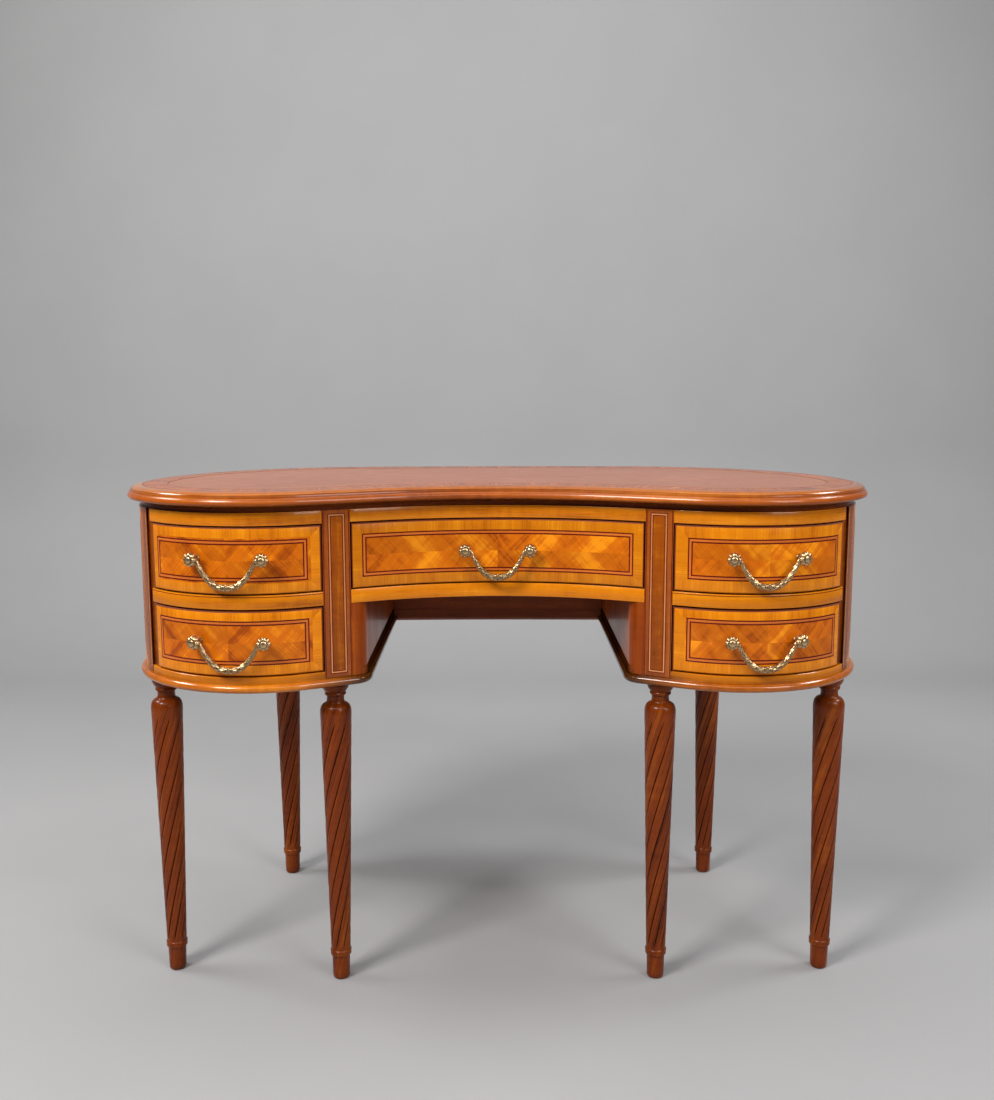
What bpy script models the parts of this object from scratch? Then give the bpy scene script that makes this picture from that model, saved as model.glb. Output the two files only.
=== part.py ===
"""Kidney-shaped writing desk: two bow-fronted pedestals of two drawers each, a
hollow-fronted middle drawer over the kneehole, six turned legs, a moulded top
with a leather writing surface, and drop handles on turned posts.

Metres, +Z up.  The drawer side faces -Y, the origin is on the floor under the
middle of the desk.
"""
import math

import bmesh
import bpy
from mathutils import Matrix, Vector

# ---------------------------------------------------------------- dimensions
# plan of the carcass (right half, the left half is its mirror image)
HOLLOW_CY = -0.588      # centre of the hollow middle of the front, on X = 0
HOLLOW_R = 0.430
LOBE_CX, LOBE_CY = 0.366, -0.076   # centre of a lobe's bow
LOBE_R = 0.191
END_R = 0.340           # rounding of an end towards the back
REAR_Y = 0.2703         # back of the carcass on the centre line

# heights
TOP_Z = 0.762           # writing height
TOP_UNDER = 0.7385
RAIL_LOW = 0.7130       # underside of the top rails
DRAWER_HIGH = 0.7115    # upper row of drawer fronts
DRAWER_LOW = 0.6145
MID_HIGH = 0.6130       # board between the two drawers of a pedestal
MID_LOW = 0.5925
LOWER_HIGH = 0.5905     # lower row of drawer fronts
LOWER_LOW = 0.4950
BASE_HIGH = 0.4930      # base board, the lower part with a moulded nose
BASE_STEP = 0.4825
BASE_LOW = 0.4700

NOSE = 0.0165           # overhang of the top
BASE_NOSE = 0.0075      # overhang of the base moulding
LEATHER_INSET = -0.0435  # edge of the leather, from the carcass line
LEATHER_THICK = 0.0012
RAIL_T = 0.020          # thickness of rails and drawer fronts
PANEL_T = 0.015

STILE_IN, STILE_OUT = 0.2165, 0.2540   # front post between middle and pedestal
POST_IN = 0.5095        # inner face of the outer front post
POST_ARC = math.radians(62.0)
KNEE_X = 0.197          # kneehole face of the inner panel
KNEE_ROUND = 0.0275     # rounding of its front corner
POST_BACK = -0.178      # back of the inner front post

GAP = 0.0003            # between touching pieces
EASE = 0.0015           # around a drawer front

# legs
LEG_STEPS = 16
LEG_FRONT_OUTER = (0.5069, -0.1744)
LEG_FRONT_INNER = (0.2442, -0.2035)
LEG_REAR = (0.3890, 0.1854)
SPIGOT_R = 0.010
SPIGOT_TOP = 0.4822

# handles
HANDLE_X = 0.3838       # middle of a pedestal handle
HANDLE_UP = 0.6658
HANDLE_LOW = 0.5456
HANDLE_MID = 0.6645
POST_HALF = 0.0477      # half the spacing of the posts, at a pedestal drawer
POST_HALF_MID = 0.0508  # the same at the middle drawer
POST_REACH = 0.0158     # from the drawer front to the pivot
BAIL_DROP = 0.0400
PIN_R = 0.0020

# ---------------------------------------------------------------- scene setup
for old in list(bpy.data.objects):
    bpy.data.objects.remove(old, do_unlink=True)

desk = bpy.data.collections.new("kidney_desk")
cutters = bpy.data.collections.new("cutters")
bpy.context.scene.collection.children.link(desk)
bpy.context.scene.collection.children.link(cutters)


def material(name, rgb, rough, metal=0.0):
    m = bpy.data.materials.new(name)
    m.use_nodes = True
    b = m.node_tree.nodes["Principled BSDF"]
    b.inputs["Base Color"].default_value = (*rgb, 1.0)
    b.inputs["Roughness"].default_value = rough
    b.inputs["Metallic"].default_value = metal
    m.diffuse_color = (*rgb, 1.0)
    return m


SATINWOOD = material("satinwood", (0.50, 0.20, 0.035), 0.30)
MAHOGANY = material("mahogany", (0.16, 0.045, 0.015), 0.30)
OAK = material("drawer_oak", (0.42, 0.27, 0.14), 0.60)
PINE = material("carcass_pine", (0.45, 0.30, 0.16), 0.65)
LEATHER = material("hide", (0.36, 0.18, 0.11), 0.55)
BRASS = material("antique_brass", (0.45, 0.29, 0.09), 0.38, 1.0)


# ---------------------------------------------------------------- plan curves
def flank(d):
    """Ends of the straight flank between the hollow and a lobe, d outwards."""
    c1, c2 = Vector((0.0, HOLLOW_CY)), Vector((LOBE_CX, LOBE_CY))
    r1, r2 = HOLLOW_R - d, LOBE_R + d
    u = c2 - c1
    span = u.length
    u /= span
    v = Vector((u.y, -u.x))
    ca = (r1 + r2) / span
    w = u * ca - v * math.sqrt(1.0 - ca * ca)
    return c1 + w * r1, c2 - w * r2


def front_y(x, d=0.0):
    """Front of the carcass at x, moved outwards by d."""
    x = abs(x)
    p, q = flank(d)
    if x <= p.x:
        return HOLLOW_CY + math.sqrt((HOLLOW_R - d) ** 2 - x * x)
    if x <= q.x:
        t = (x - p.x) / (q.x - p.x)
        return p.y + t * (q.y - p.y)
    return LOBE_CY - math.sqrt((LOBE_R + d) ** 2 - (x - LOBE_CX) ** 2)


END_CX = LOBE_CX + LOBE_R - END_R
_k = REAR_Y - LOBE_CY
REAR_R = (END_CX ** 2 + _k * _k - END_R ** 2) / (2.0 * (_k - END_R))
REAR_CY = REAR_Y - REAR_R
END_TURN = math.atan2(LOBE_CY - REAR_CY, END_CX)   # where end and back meet


def lobe_point(turn, d=0.0):
    """On the lobe's bow, turn measured from straight ahead to the outside."""
    r = LOBE_R + d
    return (LOBE_CX + r * math.sin(turn), LOBE_CY - r * math.cos(turn))


def end_point(turn, d=0.0):
    """On the end's rounding, turn measured from straight outside to the back."""
    r = END_R + d
    return (END_CX + r * math.cos(turn), LOBE_CY + r * math.sin(turn))


def rear_point(x, d=0.0):
    r = REAR_R + d
    return (x, REAR_CY + math.sqrt(r * r - x * x))


def rear_meet(d=0.0):
    return end_point(END_TURN, d)[0]


def steps(a, b, n):
    return [a + (b - a) * i / n for i in range(n + 1)]


def half_outline(d, n_hollow=8, n_lobe=14, n_end=14, n_rear=4):
    """Right half of the plan, from the front centre line round to the back."""
    p, q = flank(d)
    pts = [(x, front_y(x, d)) for x in steps(0.0, p.x, n_hollow)]
    pts += [((p.x + q.x) / 2, (p.y + q.y) / 2)]
    start = math.atan2(q.x - LOBE_CX, LOBE_CY - q.y)
    pts += [lobe_point(t, d) for t in steps(start, math.pi / 2, n_lobe)]
    pts += [end_point(t, d) for t in steps(0.0, END_TURN, n_end)[1:]]
    pts += [rear_point(x, d) for x in steps(rear_meet(d), 0.0, n_rear)[1:]]
    return pts


def full_outline(d, **n):
    half = half_outline(d, **n)
    return half + [(-x, y) for x, y in reversed(half[1:-1])]


def mirrored(pts):
    return [(-x, y) for x, y in reversed(pts)]


# ---------------------------------------------------------------- makers
def put(obj, mat, where=desk):
    where.objects.link(obj)
    obj.data.materials.clear()
    obj.data.materials.append(mat)
    return obj


def board(name, pts, z0, z1, mat, where=desk):
    """A flat outline of the given plan, standing from z0 to z1."""
    cu = bpy.data.curves.new(name, "CURVE")
    cu.dimensions = "2D"
    cu.fill_mode = "BOTH"
    cu.extrude = (z1 - z0) / 2
    sp = cu.splines.new("POLY")
    sp.points.add(len(pts) - 1)
    for slot, (x, y) in zip(sp.points, pts):
        slot.co = (x, y, 0.0, 1.0)
    sp.use_cyclic_u = True
    ob = bpy.data.objects.new(name, cu)
    ob.location = (0.0, 0.0, (z0 + z1) / 2)
    return put(ob, mat, where)


def solid(ob):
    """Turns a curve object into a welded mesh object of the same name."""
    bpy.context.view_layer.update()
    graph = bpy.context.evaluated_depsgraph_get()
    me = bpy.data.meshes.new_from_object(ob.evaluated_get(graph))
    bm = bmesh.new()
    bm.from_mesh(me)
    bmesh.ops.remove_doubles(bm, verts=bm.verts, dist=1e-6)
    bm.to_mesh(me)
    bm.free()
    name, world, homes = ob.name, ob.matrix_world.copy(), ob.users_collection
    bpy.data.objects.remove(ob, do_unlink=True)
    new = bpy.data.objects.new(name, me)
    new.matrix_world = world
    for home in homes:
        home.objects.link(new)
    return new


def lofted(name, rings, mat):
    """A closed stack of like-numbered outlines, each a (points, z) pair."""
    me = bpy.data.meshes.new(name)
    bm = bmesh.new()
    loops = [[bm.verts.new((x, y, z)) for x, y in pts] for pts, z in rings]
    n = len(loops[0])
    for low, high in zip(loops, loops[1:]):
        for i in range(n):
            j = (i + 1) % n
            bm.faces.new((low[i], low[j], high[j], high[i]))
    bm.faces.new(list(reversed(loops[0])))
    bm.faces.new(loops[-1])
    bmesh.ops.recalc_face_normals(bm, faces=bm.faces)
    bm.to_mesh(me)
    bm.free()
    return put(bpy.data.objects.new(name, me), mat)


def as_cutter(ob):
    ob.hide_render = True
    ob.display_type = "WIRE"
    return ob


def cut(ob, cutter):
    mod = ob.modifiers.new("cut", "BOOLEAN")
    mod.operation = "DIFFERENCE"
    mod.solver = "EXACT"
    mod.object = cutter
    return mod


def drum(name, radius, length, sides, where=cutters):
    """A plain round bar along Z, centred on its origin."""
    me = bpy.data.meshes.new(name)
    bm = bmesh.new()
    bmesh.ops.create_cone(bm, cap_ends=True, segments=sides, radius1=radius,
                          radius2=radius, depth=length)
    bm.to_mesh(me)
    bm.free()
    ob = bpy.data.objects.new(name, me)
    where.objects.link(ob)
    return ob


def block(name, lo, hi, where=cutters):
    me = bpy.data.meshes.new(name)
    bm = bmesh.new()
    bmesh.ops.create_cube(bm, size=1.0)
    size = Vector(hi) - Vector(lo)
    bmesh.ops.scale(bm, vec=size, verts=bm.verts)
    bm.to_mesh(me)
    bm.free()
    ob = bpy.data.objects.new(name, me)
    ob.location = (Vector(hi) + Vector(lo)) / 2
    where.objects.link(ob)
    return ob


def turned(name, profile, n, mat):
    """A profile of (radius, height), top to bottom, turned about Z."""
    me = bpy.data.meshes.new(name)
    me.from_pydata([(r, 0.0, z) for r, z in profile],
                   [(i, i + 1) for i in range(len(profile) - 1)], [])
    ob = put(bpy.data.objects.new(name, me), mat)
    mod = ob.modifiers.new("turn", "SCREW")
    mod.axis = "Z"
    mod.angle = 2 * math.pi
    mod.steps = mod.render_steps = n
    mod.use_merge_vertices = True
    mod.merge_threshold = 0.00001
    mod.use_smooth_shade = True
    return ob


def empty(name, at, parent=None):
    ob = bpy.data.objects.new(name, None)
    ob.empty_display_size = 0.03
    desk.objects.link(ob)
    hang(ob, parent, Matrix.Translation(at))
    return ob


WORLD = {}


def hang(ob, parent, world):
    """Places ob at world and ties it to its parent without moving it."""
    WORLD[ob.name] = world.copy()
    if parent is None:
        ob.matrix_world = world
    else:
        ob.parent = parent
        ob.matrix_parent_inverse = WORLD[parent.name].inverted()
        ob.matrix_basis = world
    return ob


def tie(ob, parent):
    bpy.context.view_layer.update()
    return hang(ob, parent, ob.matrix_world.copy())


def both(make):
    """Runs a maker for the right and the left, with the plan flip to use."""
    for side in ("right", "left"):
        flip = (lambda p: p) if side == "right" else mirrored
        sign = 1.0 if side == "right" else -1.0
        make(side, flip, sign)


frame = empty("desk_frame", (0.0, 0.0, 0.0))

# ---------------------------------------------------------------- top
# edge moulding, from the underside up: bead at the bottom, hollow, thumb, fillet
edge = [(NOSE - 0.0030, TOP_UNDER), (NOSE - 0.0004, TOP_UNDER + 0.0012),
        (NOSE, TOP_UNDER + 0.0040), (NOSE - 0.0020, TOP_UNDER + 0.0066),
        (NOSE - 0.0055, TOP_UNDER + 0.0110), (NOSE - 0.0120, TOP_Z - 0.0040),
        (NOSE - 0.0150, TOP_Z - 0.0012), (NOSE - 0.0165, TOP_Z)]
top = lofted("top_board", [(full_outline(d), z) for d, z in edge], MAHOGANY)
bed = board("leather_bed", full_outline(LEATHER_INSET), TOP_Z - 0.0015,
            TOP_Z + 0.01, LEATHER, cutters)
cut(top, as_cutter(solid(bed)))
tie(top, frame)
leather = board("writing_leather", full_outline(LEATHER_INSET - GAP),
                TOP_Z - 0.0015 + GAP, TOP_Z - 0.0015 + GAP + LEATHER_THICK - 0.0003,
                LEATHER)
tie(leather, frame)

# ---------------------------------------------------------------- legs
leg_profile = [
    (0.0, SPIGOT_TOP), (SPIGOT_R, SPIGOT_TOP), (SPIGOT_R, BASE_LOW - GAP),
    (0.0205, BASE_LOW - GAP), (0.0203, 0.4625), (0.0165, 0.4540),
    (0.0132, 0.4490), (0.0128, 0.4405), (0.0200, 0.4362), (0.0226, 0.4310),
    (0.0236, 0.4240), (0.0149, 0.0490), (0.0160, 0.0470), (0.0160, 0.0388),
    (0.0138, 0.0372), (0.0130, 0.0030), (0.0110, 0.0), (0.0, 0.0)]
for name, (x, y) in (("leg_front_outer", LEG_FRONT_OUTER),
                     ("leg_front_inner", LEG_FRONT_INNER),
                     ("leg_rear", LEG_REAR)):
    for side, sign in (("right", 1.0), ("left", -1.0)):
        leg = turned(f"{name}_{side}", leg_profile, LEG_STEPS, MAHOGANY)
        hang(leg, frame, Matrix.Translation((sign * x, y, 0.0)))


# ---------------------------------------------------------------- carcass
def pedestal_plan(d):
    """Plan of a pedestal, its kneehole side straight with a rounded corner."""
    wall = KNEE_X - d
    turn = KNEE_ROUND + d
    p, q = flank(d)
    slope = (q - p).normalized()             # along the flank, towards the lobe
    # corner on the flank's line, because the flank starts outside the wall
    t = (wall - p.x) / slope.x
    corner = p + slope * t
    half_bend = (math.pi / 2 - math.atan2(-slope.y, slope.x)) / 2
    run = turn * math.tan(half_bend)
    a = corner + slope * run
    b = corner + Vector((0.0, run))
    centre = Vector((wall + turn, b.y))
    pts = []
    # rounded corner, from the kneehole wall to the front
    ang_b = math.pi
    ang_a = math.atan2(a.y - centre.y, a.x - centre.x)
    if ang_a < 0:
        ang_a += 2 * math.pi
    for ang in steps(ang_b, ang_a, 6):
        pts.append((centre.x + turn * math.cos(ang), centre.y + turn * math.sin(ang)))
    start = math.atan2(q.x - LOBE_CX, LOBE_CY - q.y)
    pts += [lobe_point(t, d) for t in steps(start, math.pi / 2, 14)]
    pts += [end_point(t, d) for t in steps(0.0, END_TURN, 14)[1:]]
    pts.append(rear_point(wall, d))
    return pts


def make_base(side, flip, sign):
    ob = lofted(f"base_board_{side}",
                [(flip(pedestal_plan(BASE_NOSE)), BASE_LOW),
                 (flip(pedestal_plan(BASE_NOSE)), BASE_STEP),
                 (flip(pedestal_plan(0.0)), BASE_STEP + 0.0004),
                 (flip(pedestal_plan(0.0)), BASE_HIGH)], SATINWOOD)
    for k, (x, y) in enumerate((LEG_FRONT_OUTER, LEG_FRONT_INNER, LEG_REAR)):
        hole = drum(f"socket_{side}_{k}", SPIGOT_R + GAP, 0.04, LEG_STEPS)
        hole.location = (sign * x, y, SPIGOT_TOP + GAP - 0.02)
        cut(ob, as_cutter(hole))
    tie(ob, frame)


both(make_base)


def strip(x0, x1, d0, d1, n=14):
    """A curved strip of the front, from x0 to x1, between two offsets."""
    outer = [(x, front_y(x, d0)) for x in steps(x0, x1, n)]
    inner = [(x, front_y(x, d1)) for x in steps(x1, x0, n)]
    return outer + inner


STAND = BASE_HIGH + GAP        # foot of what stands on the base boards
UNDER = TOP_UNDER - GAP        # head of what carries the top


def make_posts(side, flip, sign):
    x0, x1 = STILE_IN, STILE_OUT
    pts = [(x0, front_y(x0)), (x1, front_y(x1)), (x1, POST_BACK), (x0, POST_BACK)]
    tie(board(f"inner_post_{side}", flip(pts), STAND, UNDER, MAHOGANY), frame)

    first = math.asin((POST_IN - LOBE_CX) / LOBE_R)
    deep = (POST_IN - LOBE_CX) / math.sin(POST_ARC) - LOBE_R
    pts = [lobe_point(t) for t in steps(first, POST_ARC, 4)]
    pts.append(lobe_point(POST_ARC, deep))
    tie(board(f"outer_post_{side}", flip(pts), STAND, UNDER, MAHOGANY), frame)


both(make_posts)


def make_outer_panel(side, flip, sign):
    lobe0 = POST_ARC + GAP / LOBE_R
    rim = [lobe_point(t) for t in steps(lobe0, math.pi / 2, 4)]
    rim += [end_point(t) for t in steps(0.0, END_TURN, 14)[1:]]
    lining = [lobe_point(t, -PANEL_T) for t in steps(lobe0, math.pi / 2, 4)]
    lining += [end_point(t, -PANEL_T) for t in steps(0.0, END_TURN, 14)[1:]]
    pts = rim + list(reversed(lining))
    tie(board(f"outer_panel_{side}", flip(pts), STAND, UNDER, SATINWOOD), frame)


both(make_outer_panel)


def make_inner_panel(side, flip, sign):
    plan = pedestal_plan(0.0)
    nose = plan[:7]                         # kneehole wall round to the front
    # the rounded nose stops at the post, the wall runs back to the back panel
    nose = [p for p in nose if p[0] < STILE_IN - GAP]
    x_end = STILE_IN - GAP
    nose.append((x_end, front_y(x_end) + 0.0006))
    wall_in = KNEE_X + PANEL_T
    back_y = rear_point(wall_in, -PANEL_T)[1] - 0.0010
    pts = [(KNEE_X, back_y)] + nose + [(x_end, POST_BACK + GAP), (wall_in, POST_BACK + 0.012),
                                       (wall_in, back_y)]
    ob = solid(board(f"inner_panel_{side}", flip(pts), STAND, UNDER, SATINWOOD))
    notch = block(f"notch_{side}", (-0.03, -0.06, -0.2), (0.03, 0.0, 0.0))
    notch.location = (sign * (KNEE_X + 0.005), POST_BACK - 0.03 + GAP, MID_LOW - GAP + 0.1)
    cut(ob, as_cutter(notch))
    tie(ob, frame)


both(make_inner_panel)

# back panel between the two ends, and the piece of base moulding under it
meet = rear_meet() - 0.0006
pts = [rear_point(x) for x in steps(meet, -meet, 8)]
pts += [rear_point(x, -PANEL_T) for x in steps(-meet + 0.0010, meet - 0.0010, 8)]
tie(board("back_panel", pts, STAND, UNDER, SATINWOOD), frame)



def plinth_plan(d):
    """Its ends stand against the base boards at every offset."""
    wall = KNEE_X - d - 2 * GAP
    return ([rear_point(x, d) for x in steps(wall, -wall, 8)]
            + [rear_point(x, -0.022) for x in steps(-wall, wall, 8)])


tie(lofted("back_plinth", [(plinth_plan(BASE_NOSE), BASE_LOW),
                           (plinth_plan(BASE_NOSE), BASE_STEP),
                           (plinth_plan(0.0), BASE_STEP + 0.0004),
                           (plinth_plan(0.0), BASE_HIGH)], SATINWOOD), frame)


# rails across the fronts
def make_rails(side, flip, sign):
    x0, x1 = STILE_OUT + GAP, POST_IN - GAP
    tie(board(f"top_rail_{side}", flip(strip(x0, x1, 0.0, -RAIL_T)), RAIL_LOW, UNDER,
              SATINWOOD), frame)
    # board between the drawers: its front edge is the middle rail
    pts = [(x, front_y(x)) for x in steps(x0, x1, 14)]
    pts += [(x1, 0.050), (0.470, 0.108), (x0, 0.108)]
    tie(board(f"mid_board_{side}", flip(pts), MID_LOW, MID_HIGH, SATINWOOD), frame)
    # runner that carries the middle drawer, fixed to the inner panel
    r0, r1 = KNEE_X - 0.022, KNEE_X - GAP
    pts = [(r0, -0.150), (r1, -0.150), (r1, 0.250), (r0, 0.250)]
    tie(board(f"center_runner_{side}", flip(pts), MID_LOW + 0.001, MID_HIGH, OAK), frame)


both(make_rails)
x1 = STILE_IN - GAP
tie(board("top_rail_center", strip(-x1, x1, 0.0, -RAIL_T), RAIL_LOW, UNDER, SATINWOOD), frame)
tie(board("center_rail", strip(-x1, x1, 0.0, -RAIL_T), MID_LOW, MID_HIGH, SATINWOOD), frame)


# ---------------------------------------------------------------- handles
def surface(x):
    """Point and outward direction of the front at x."""
    p, q = flank(0.0)
    ax = abs(x)
    sign = 1.0 if x >= 0 else -1.0
    if ax <= p.x:
        n = Vector((-ax, HOLLOW_CY - front_y(ax))).normalized()
    elif ax <= q.x:
        s = (q - p).normalized()
        n = Vector((s.y, -s.x))
    else:
        n = Vector((ax - LOBE_CX, front_y(ax) - LOBE_CY)).normalized()
    return Vector((x, front_y(ax))), Vector((sign * n.x, n.y))


# rosette against the drawer, stem, and the eye that holds the bail's pin
post_profile = [(0.0, 0.0225), (0.0042, 0.0210), (0.0060, 0.0160), (0.0042, 0.0108),
                (0.0040, 0.0060), (0.0100, 0.0044), (0.0105, 0.0014), (0.0042, 0.0014),
                (0.0042, 0.0006), (0.0, 0.0006)]


def make_handle(tag, x_mid, z, spread, drawer):
    """Two posts on the drawer front and a bail that swings between them."""
    _, n_mid = surface(x_mid)
    t_mid = Vector((-n_mid.y, n_mid.x))
    if t_mid.x < 0:
        t_mid = -t_mid
    eyes, posts = [], []
    for side, off in (("left", -spread), ("right", spread)):
        s, n = surface(x_mid + off * t_mid.x)
        eye = s + n * POST_REACH
        t = Vector((-n.y, n.x))
        m = Matrix(((t.x, 0.0, n.x, s.x), (t.y, 0.0, n.y, s.y),
                    (0.0, 1.0, 0.0, z), (0.0, 0.0, 0.0, 1.0)))
        posts.append((side, m))
        eyes.append(eye)
    mid = (eyes[0] + eyes[1]) / 2
    along = (eyes[1] - eyes[0])
    half = along.length / 2
    along.normalize()
    turn = math.atan2(along.y, along.x)
    swing = Matrix.Translation((mid.x, mid.y, z)) @ Matrix.Rotation(turn, 4, "Z")

    hole = drum(f"pin_hole_{tag}", PIN_R + 0.0004, 2 * half + 0.03, 12)
    hole.matrix_world = swing @ Matrix.Rotation(math.pi / 2, 4, "Y")
    as_cutter(hole)
    for side, m in posts:
        post = turned(f"{tag}_post_{side}", post_profile, 10, BRASS)
        cut(post, hole)
        hang(post, drawer, m)

    # bail: pins in the eyes, then a hanging curve that thickens to its middle
    reach = half - 0.0108
    sag = (BAIL_DROP - 0.0060) / reach ** 2
    path = [(-half - 0.0030, 0.0, 0.0), (-half + 0.0092, 0.0, 0.0)]
    n = 14
    for i in range(n + 1):
        u = -reach + 2 * reach * i / n
        path.append((u, 0.0, -BAIL_DROP + sag * u * u))
    path += [(half - 0.0092, 0.0, 0.0), (half + 0.0030, 0.0, 0.0)]
    cu = bpy.data.curves.new(f"{tag}_bail", "CURVE")
    cu.dimensions = "3D"
    cu.bevel_depth = 1.0
    cu.bevel_resolution = 2
    cu.use_fill_caps = True
    sp = cu.splines.new("POLY")
    sp.points.add(len(path) - 1)
    for slot, (u, v, w) in zip(sp.points, path):
        slot.co = (u, v, w, 1.0)
        if abs(u) > half - 0.0100:
            slot.radius = PIN_R
        else:
            slot.radius = 0.0026 + 0.0026 * math.cos(0.5 * math.pi * abs(u) / reach)
    bail = put(bpy.data.objects.new(f"{tag}_bail", cu), BRASS)
    hang(bail, drawer, swing)
    return mid, along


# ---------------------------------------------------------------- drawers
def make_drawer(tag, x0, x1, low, high, rest, box, back, handle_x, handle_z):
    """Front, dovetailed sides and back, bottom and handle of one drawer."""
    slide = empty(f"{tag}_slide", ((x0 + x1) / 2, front_y((x0 + x1) / 2), low), frame)
    inner = -RAIL_T - 0.0014          # clear of the facets of the curved front
    tie(board(f"{tag}_front", strip(x0, x1, 0.0, -RAIL_T, 12), low, high, SATINWOOD), slide)
    a, b = box
    wall_t = 0.010
    head = high - 0.0065
    foot = rest + 0.0006               # sides run on the board or runner below
    pts = [(a, front_y(a, inner)), (a + wall_t, front_y(a + wall_t, inner)),
           (a + wall_t, back - wall_t), (b - wall_t, back - wall_t),
           (b - wall_t, front_y(b - wall_t, inner)), (b, front_y(b, inner)),
           (b, back), (a, back)]
    tie(board(f"{tag}_box", pts, foot, head, OAK), slide)
    fa, fb = a + wall_t + GAP, b - wall_t - GAP
    pts = [(x, front_y(x, inner)) for x in steps(fa, fb, 10)]
    pts += [(fb, back - wall_t - GAP), (fa, back - wall_t - GAP)]
    tie(board(f"{tag}_bottom", pts, low + 0.0060, low + 0.0125, OAK), slide)
    spread = POST_HALF if handle_x else POST_HALF_MID
    make_handle(tag, handle_x, handle_z, spread, slide)


X0, X1 = STILE_OUT + EASE, POST_IN - EASE
BOX = (0.2585, 0.5035)
BOX_BACK = 0.058
make_drawer("drawer_upper_right", X0, X1, DRAWER_LOW, DRAWER_HIGH, MID_HIGH, BOX, BOX_BACK,
            HANDLE_X, HANDLE_UP)
make_drawer("drawer_lower_right", X0, X1, LOWER_LOW, LOWER_HIGH, BASE_HIGH, BOX, BOX_BACK,
            HANDLE_X, HANDLE_LOW)
make_drawer("drawer_upper_left", -X1, -X0, DRAWER_LOW, DRAWER_HIGH, MID_HIGH,
            (-BOX[1], -BOX[0]), BOX_BACK, -HANDLE_X, HANDLE_UP)
make_drawer("drawer_lower_left", -X1, -X0, LOWER_LOW, LOWER_HIGH, BASE_HIGH,
            (-BOX[1], -BOX[0]), BOX_BACK, -HANDLE_X, HANDLE_LOW)
make_drawer("drawer_center", -STILE_IN + EASE, STILE_IN - EASE, DRAWER_LOW, DRAWER_HIGH,
            MID_HIGH, (-0.190, 0.190), 0.235, 0.0, HANDLE_MID)

# turned pieces and curved faces are shaded smooth
bpy.context.view_layer.update()
for ob in desk.objects:
    if ob.type == "MESH":
        ob.data.shade_smooth()
        ob.data.set_sharp_from_angle(angle=math.radians(40))
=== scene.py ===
"""Looks of the kidney-shaped writing desk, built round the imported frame."""
import math
import random

import bmesh
import bpy
import numpy as np
from mathutils import Matrix, Vector


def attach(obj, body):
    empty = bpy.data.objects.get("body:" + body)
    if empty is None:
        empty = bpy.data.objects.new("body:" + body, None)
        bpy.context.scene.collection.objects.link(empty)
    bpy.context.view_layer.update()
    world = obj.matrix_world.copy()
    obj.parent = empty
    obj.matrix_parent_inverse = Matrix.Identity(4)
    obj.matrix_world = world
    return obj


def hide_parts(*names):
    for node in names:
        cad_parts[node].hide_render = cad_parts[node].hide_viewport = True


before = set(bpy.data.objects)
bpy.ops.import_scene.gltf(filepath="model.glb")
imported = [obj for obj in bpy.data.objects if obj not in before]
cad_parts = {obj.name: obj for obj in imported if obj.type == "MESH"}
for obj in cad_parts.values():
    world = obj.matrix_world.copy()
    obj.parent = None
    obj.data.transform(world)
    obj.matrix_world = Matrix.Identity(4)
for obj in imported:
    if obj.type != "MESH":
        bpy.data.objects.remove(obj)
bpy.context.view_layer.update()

random.seed(11)

# ---------------------------------------------------------------- dimensions
HOLLOW_CY, HOLLOW_R = -0.588, 0.430
LOBE_CX, LOBE_CY, LOBE_R = 0.366, -0.076, 0.191
END_R, REAR_Y = 0.340, 0.2703

TOP_Z, TOP_UNDER, RAIL_LOW = 0.762, 0.7385, 0.7130
DRAWER_HIGH, DRAWER_LOW = 0.7115, 0.6145
MID_HIGH, MID_LOW = 0.6130, 0.5925
LOWER_HIGH, LOWER_LOW = 0.5905, 0.4950
BASE_HIGH, BASE_STEP, BASE_LOW = 0.4930, 0.4825, 0.4700
NOSE, BASE_NOSE = 0.0165, 0.0075
LEATHER_INSET = -0.0435
RAIL_T, PANEL_T = 0.020, 0.015
STILE_IN, STILE_OUT = 0.2165, 0.2540
POST_IN, POST_ARC = 0.5095, math.radians(62.0)
KNEE_X, KNEE_ROUND, POST_BACK = 0.197, 0.0275, -0.178
GAP, EASE = 0.0003, 0.0015
STAND, UNDER = BASE_HIGH + GAP, TOP_UNDER - GAP
FOOT = BASE_STEP + 0.0006      # posts and kneehole corners come down to the base moulding
NECK = 0.7320                  # a set-back neck runs under the top, above this height

LEGS = {"leg_front_outer": (0.5069, -0.1744), "leg_front_inner": (0.2442, -0.2035),
        "leg_rear": (0.3890, 0.1854)}
HANDLE_X, HANDLE_UP, HANDLE_LOW, HANDLE_MID = 0.3838, 0.6658, 0.5456, 0.6645
POST_HALF, POST_HALF_MID, POST_REACH, BAIL_DROP = 0.0477, 0.0508, 0.0158, 0.0400


# ---------------------------------------------------------------- plan curves
_flanks = {}


def flank(d):
    key = round(d, 7)
    if key not in _flanks:
        c1, c2 = Vector((0.0, HOLLOW_CY)), Vector((LOBE_CX, LOBE_CY))
        r1, r2 = HOLLOW_R - d, LOBE_R + d
        u = c2 - c1
        span = u.length
        u /= span
        v = Vector((u.y, -u.x))
        ca = (r1 + r2) / span
        w = u * ca - v * math.sqrt(1.0 - ca * ca)
        _flanks[key] = (c1 + w * r1, c2 - w * r2)
    return _flanks[key]


def front_y(x, d=0.0):
    x = abs(x)
    p, q = flank(d)
    if x <= p.x:
        return HOLLOW_CY + math.sqrt((HOLLOW_R - d) ** 2 - x * x)
    if x <= q.x:
        return p.y + (x - p.x) / (q.x - p.x) * (q.y - p.y)
    return LOBE_CY - math.sqrt(max((LOBE_R + d) ** 2 - (x - LOBE_CX) ** 2, 0.0))


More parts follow.
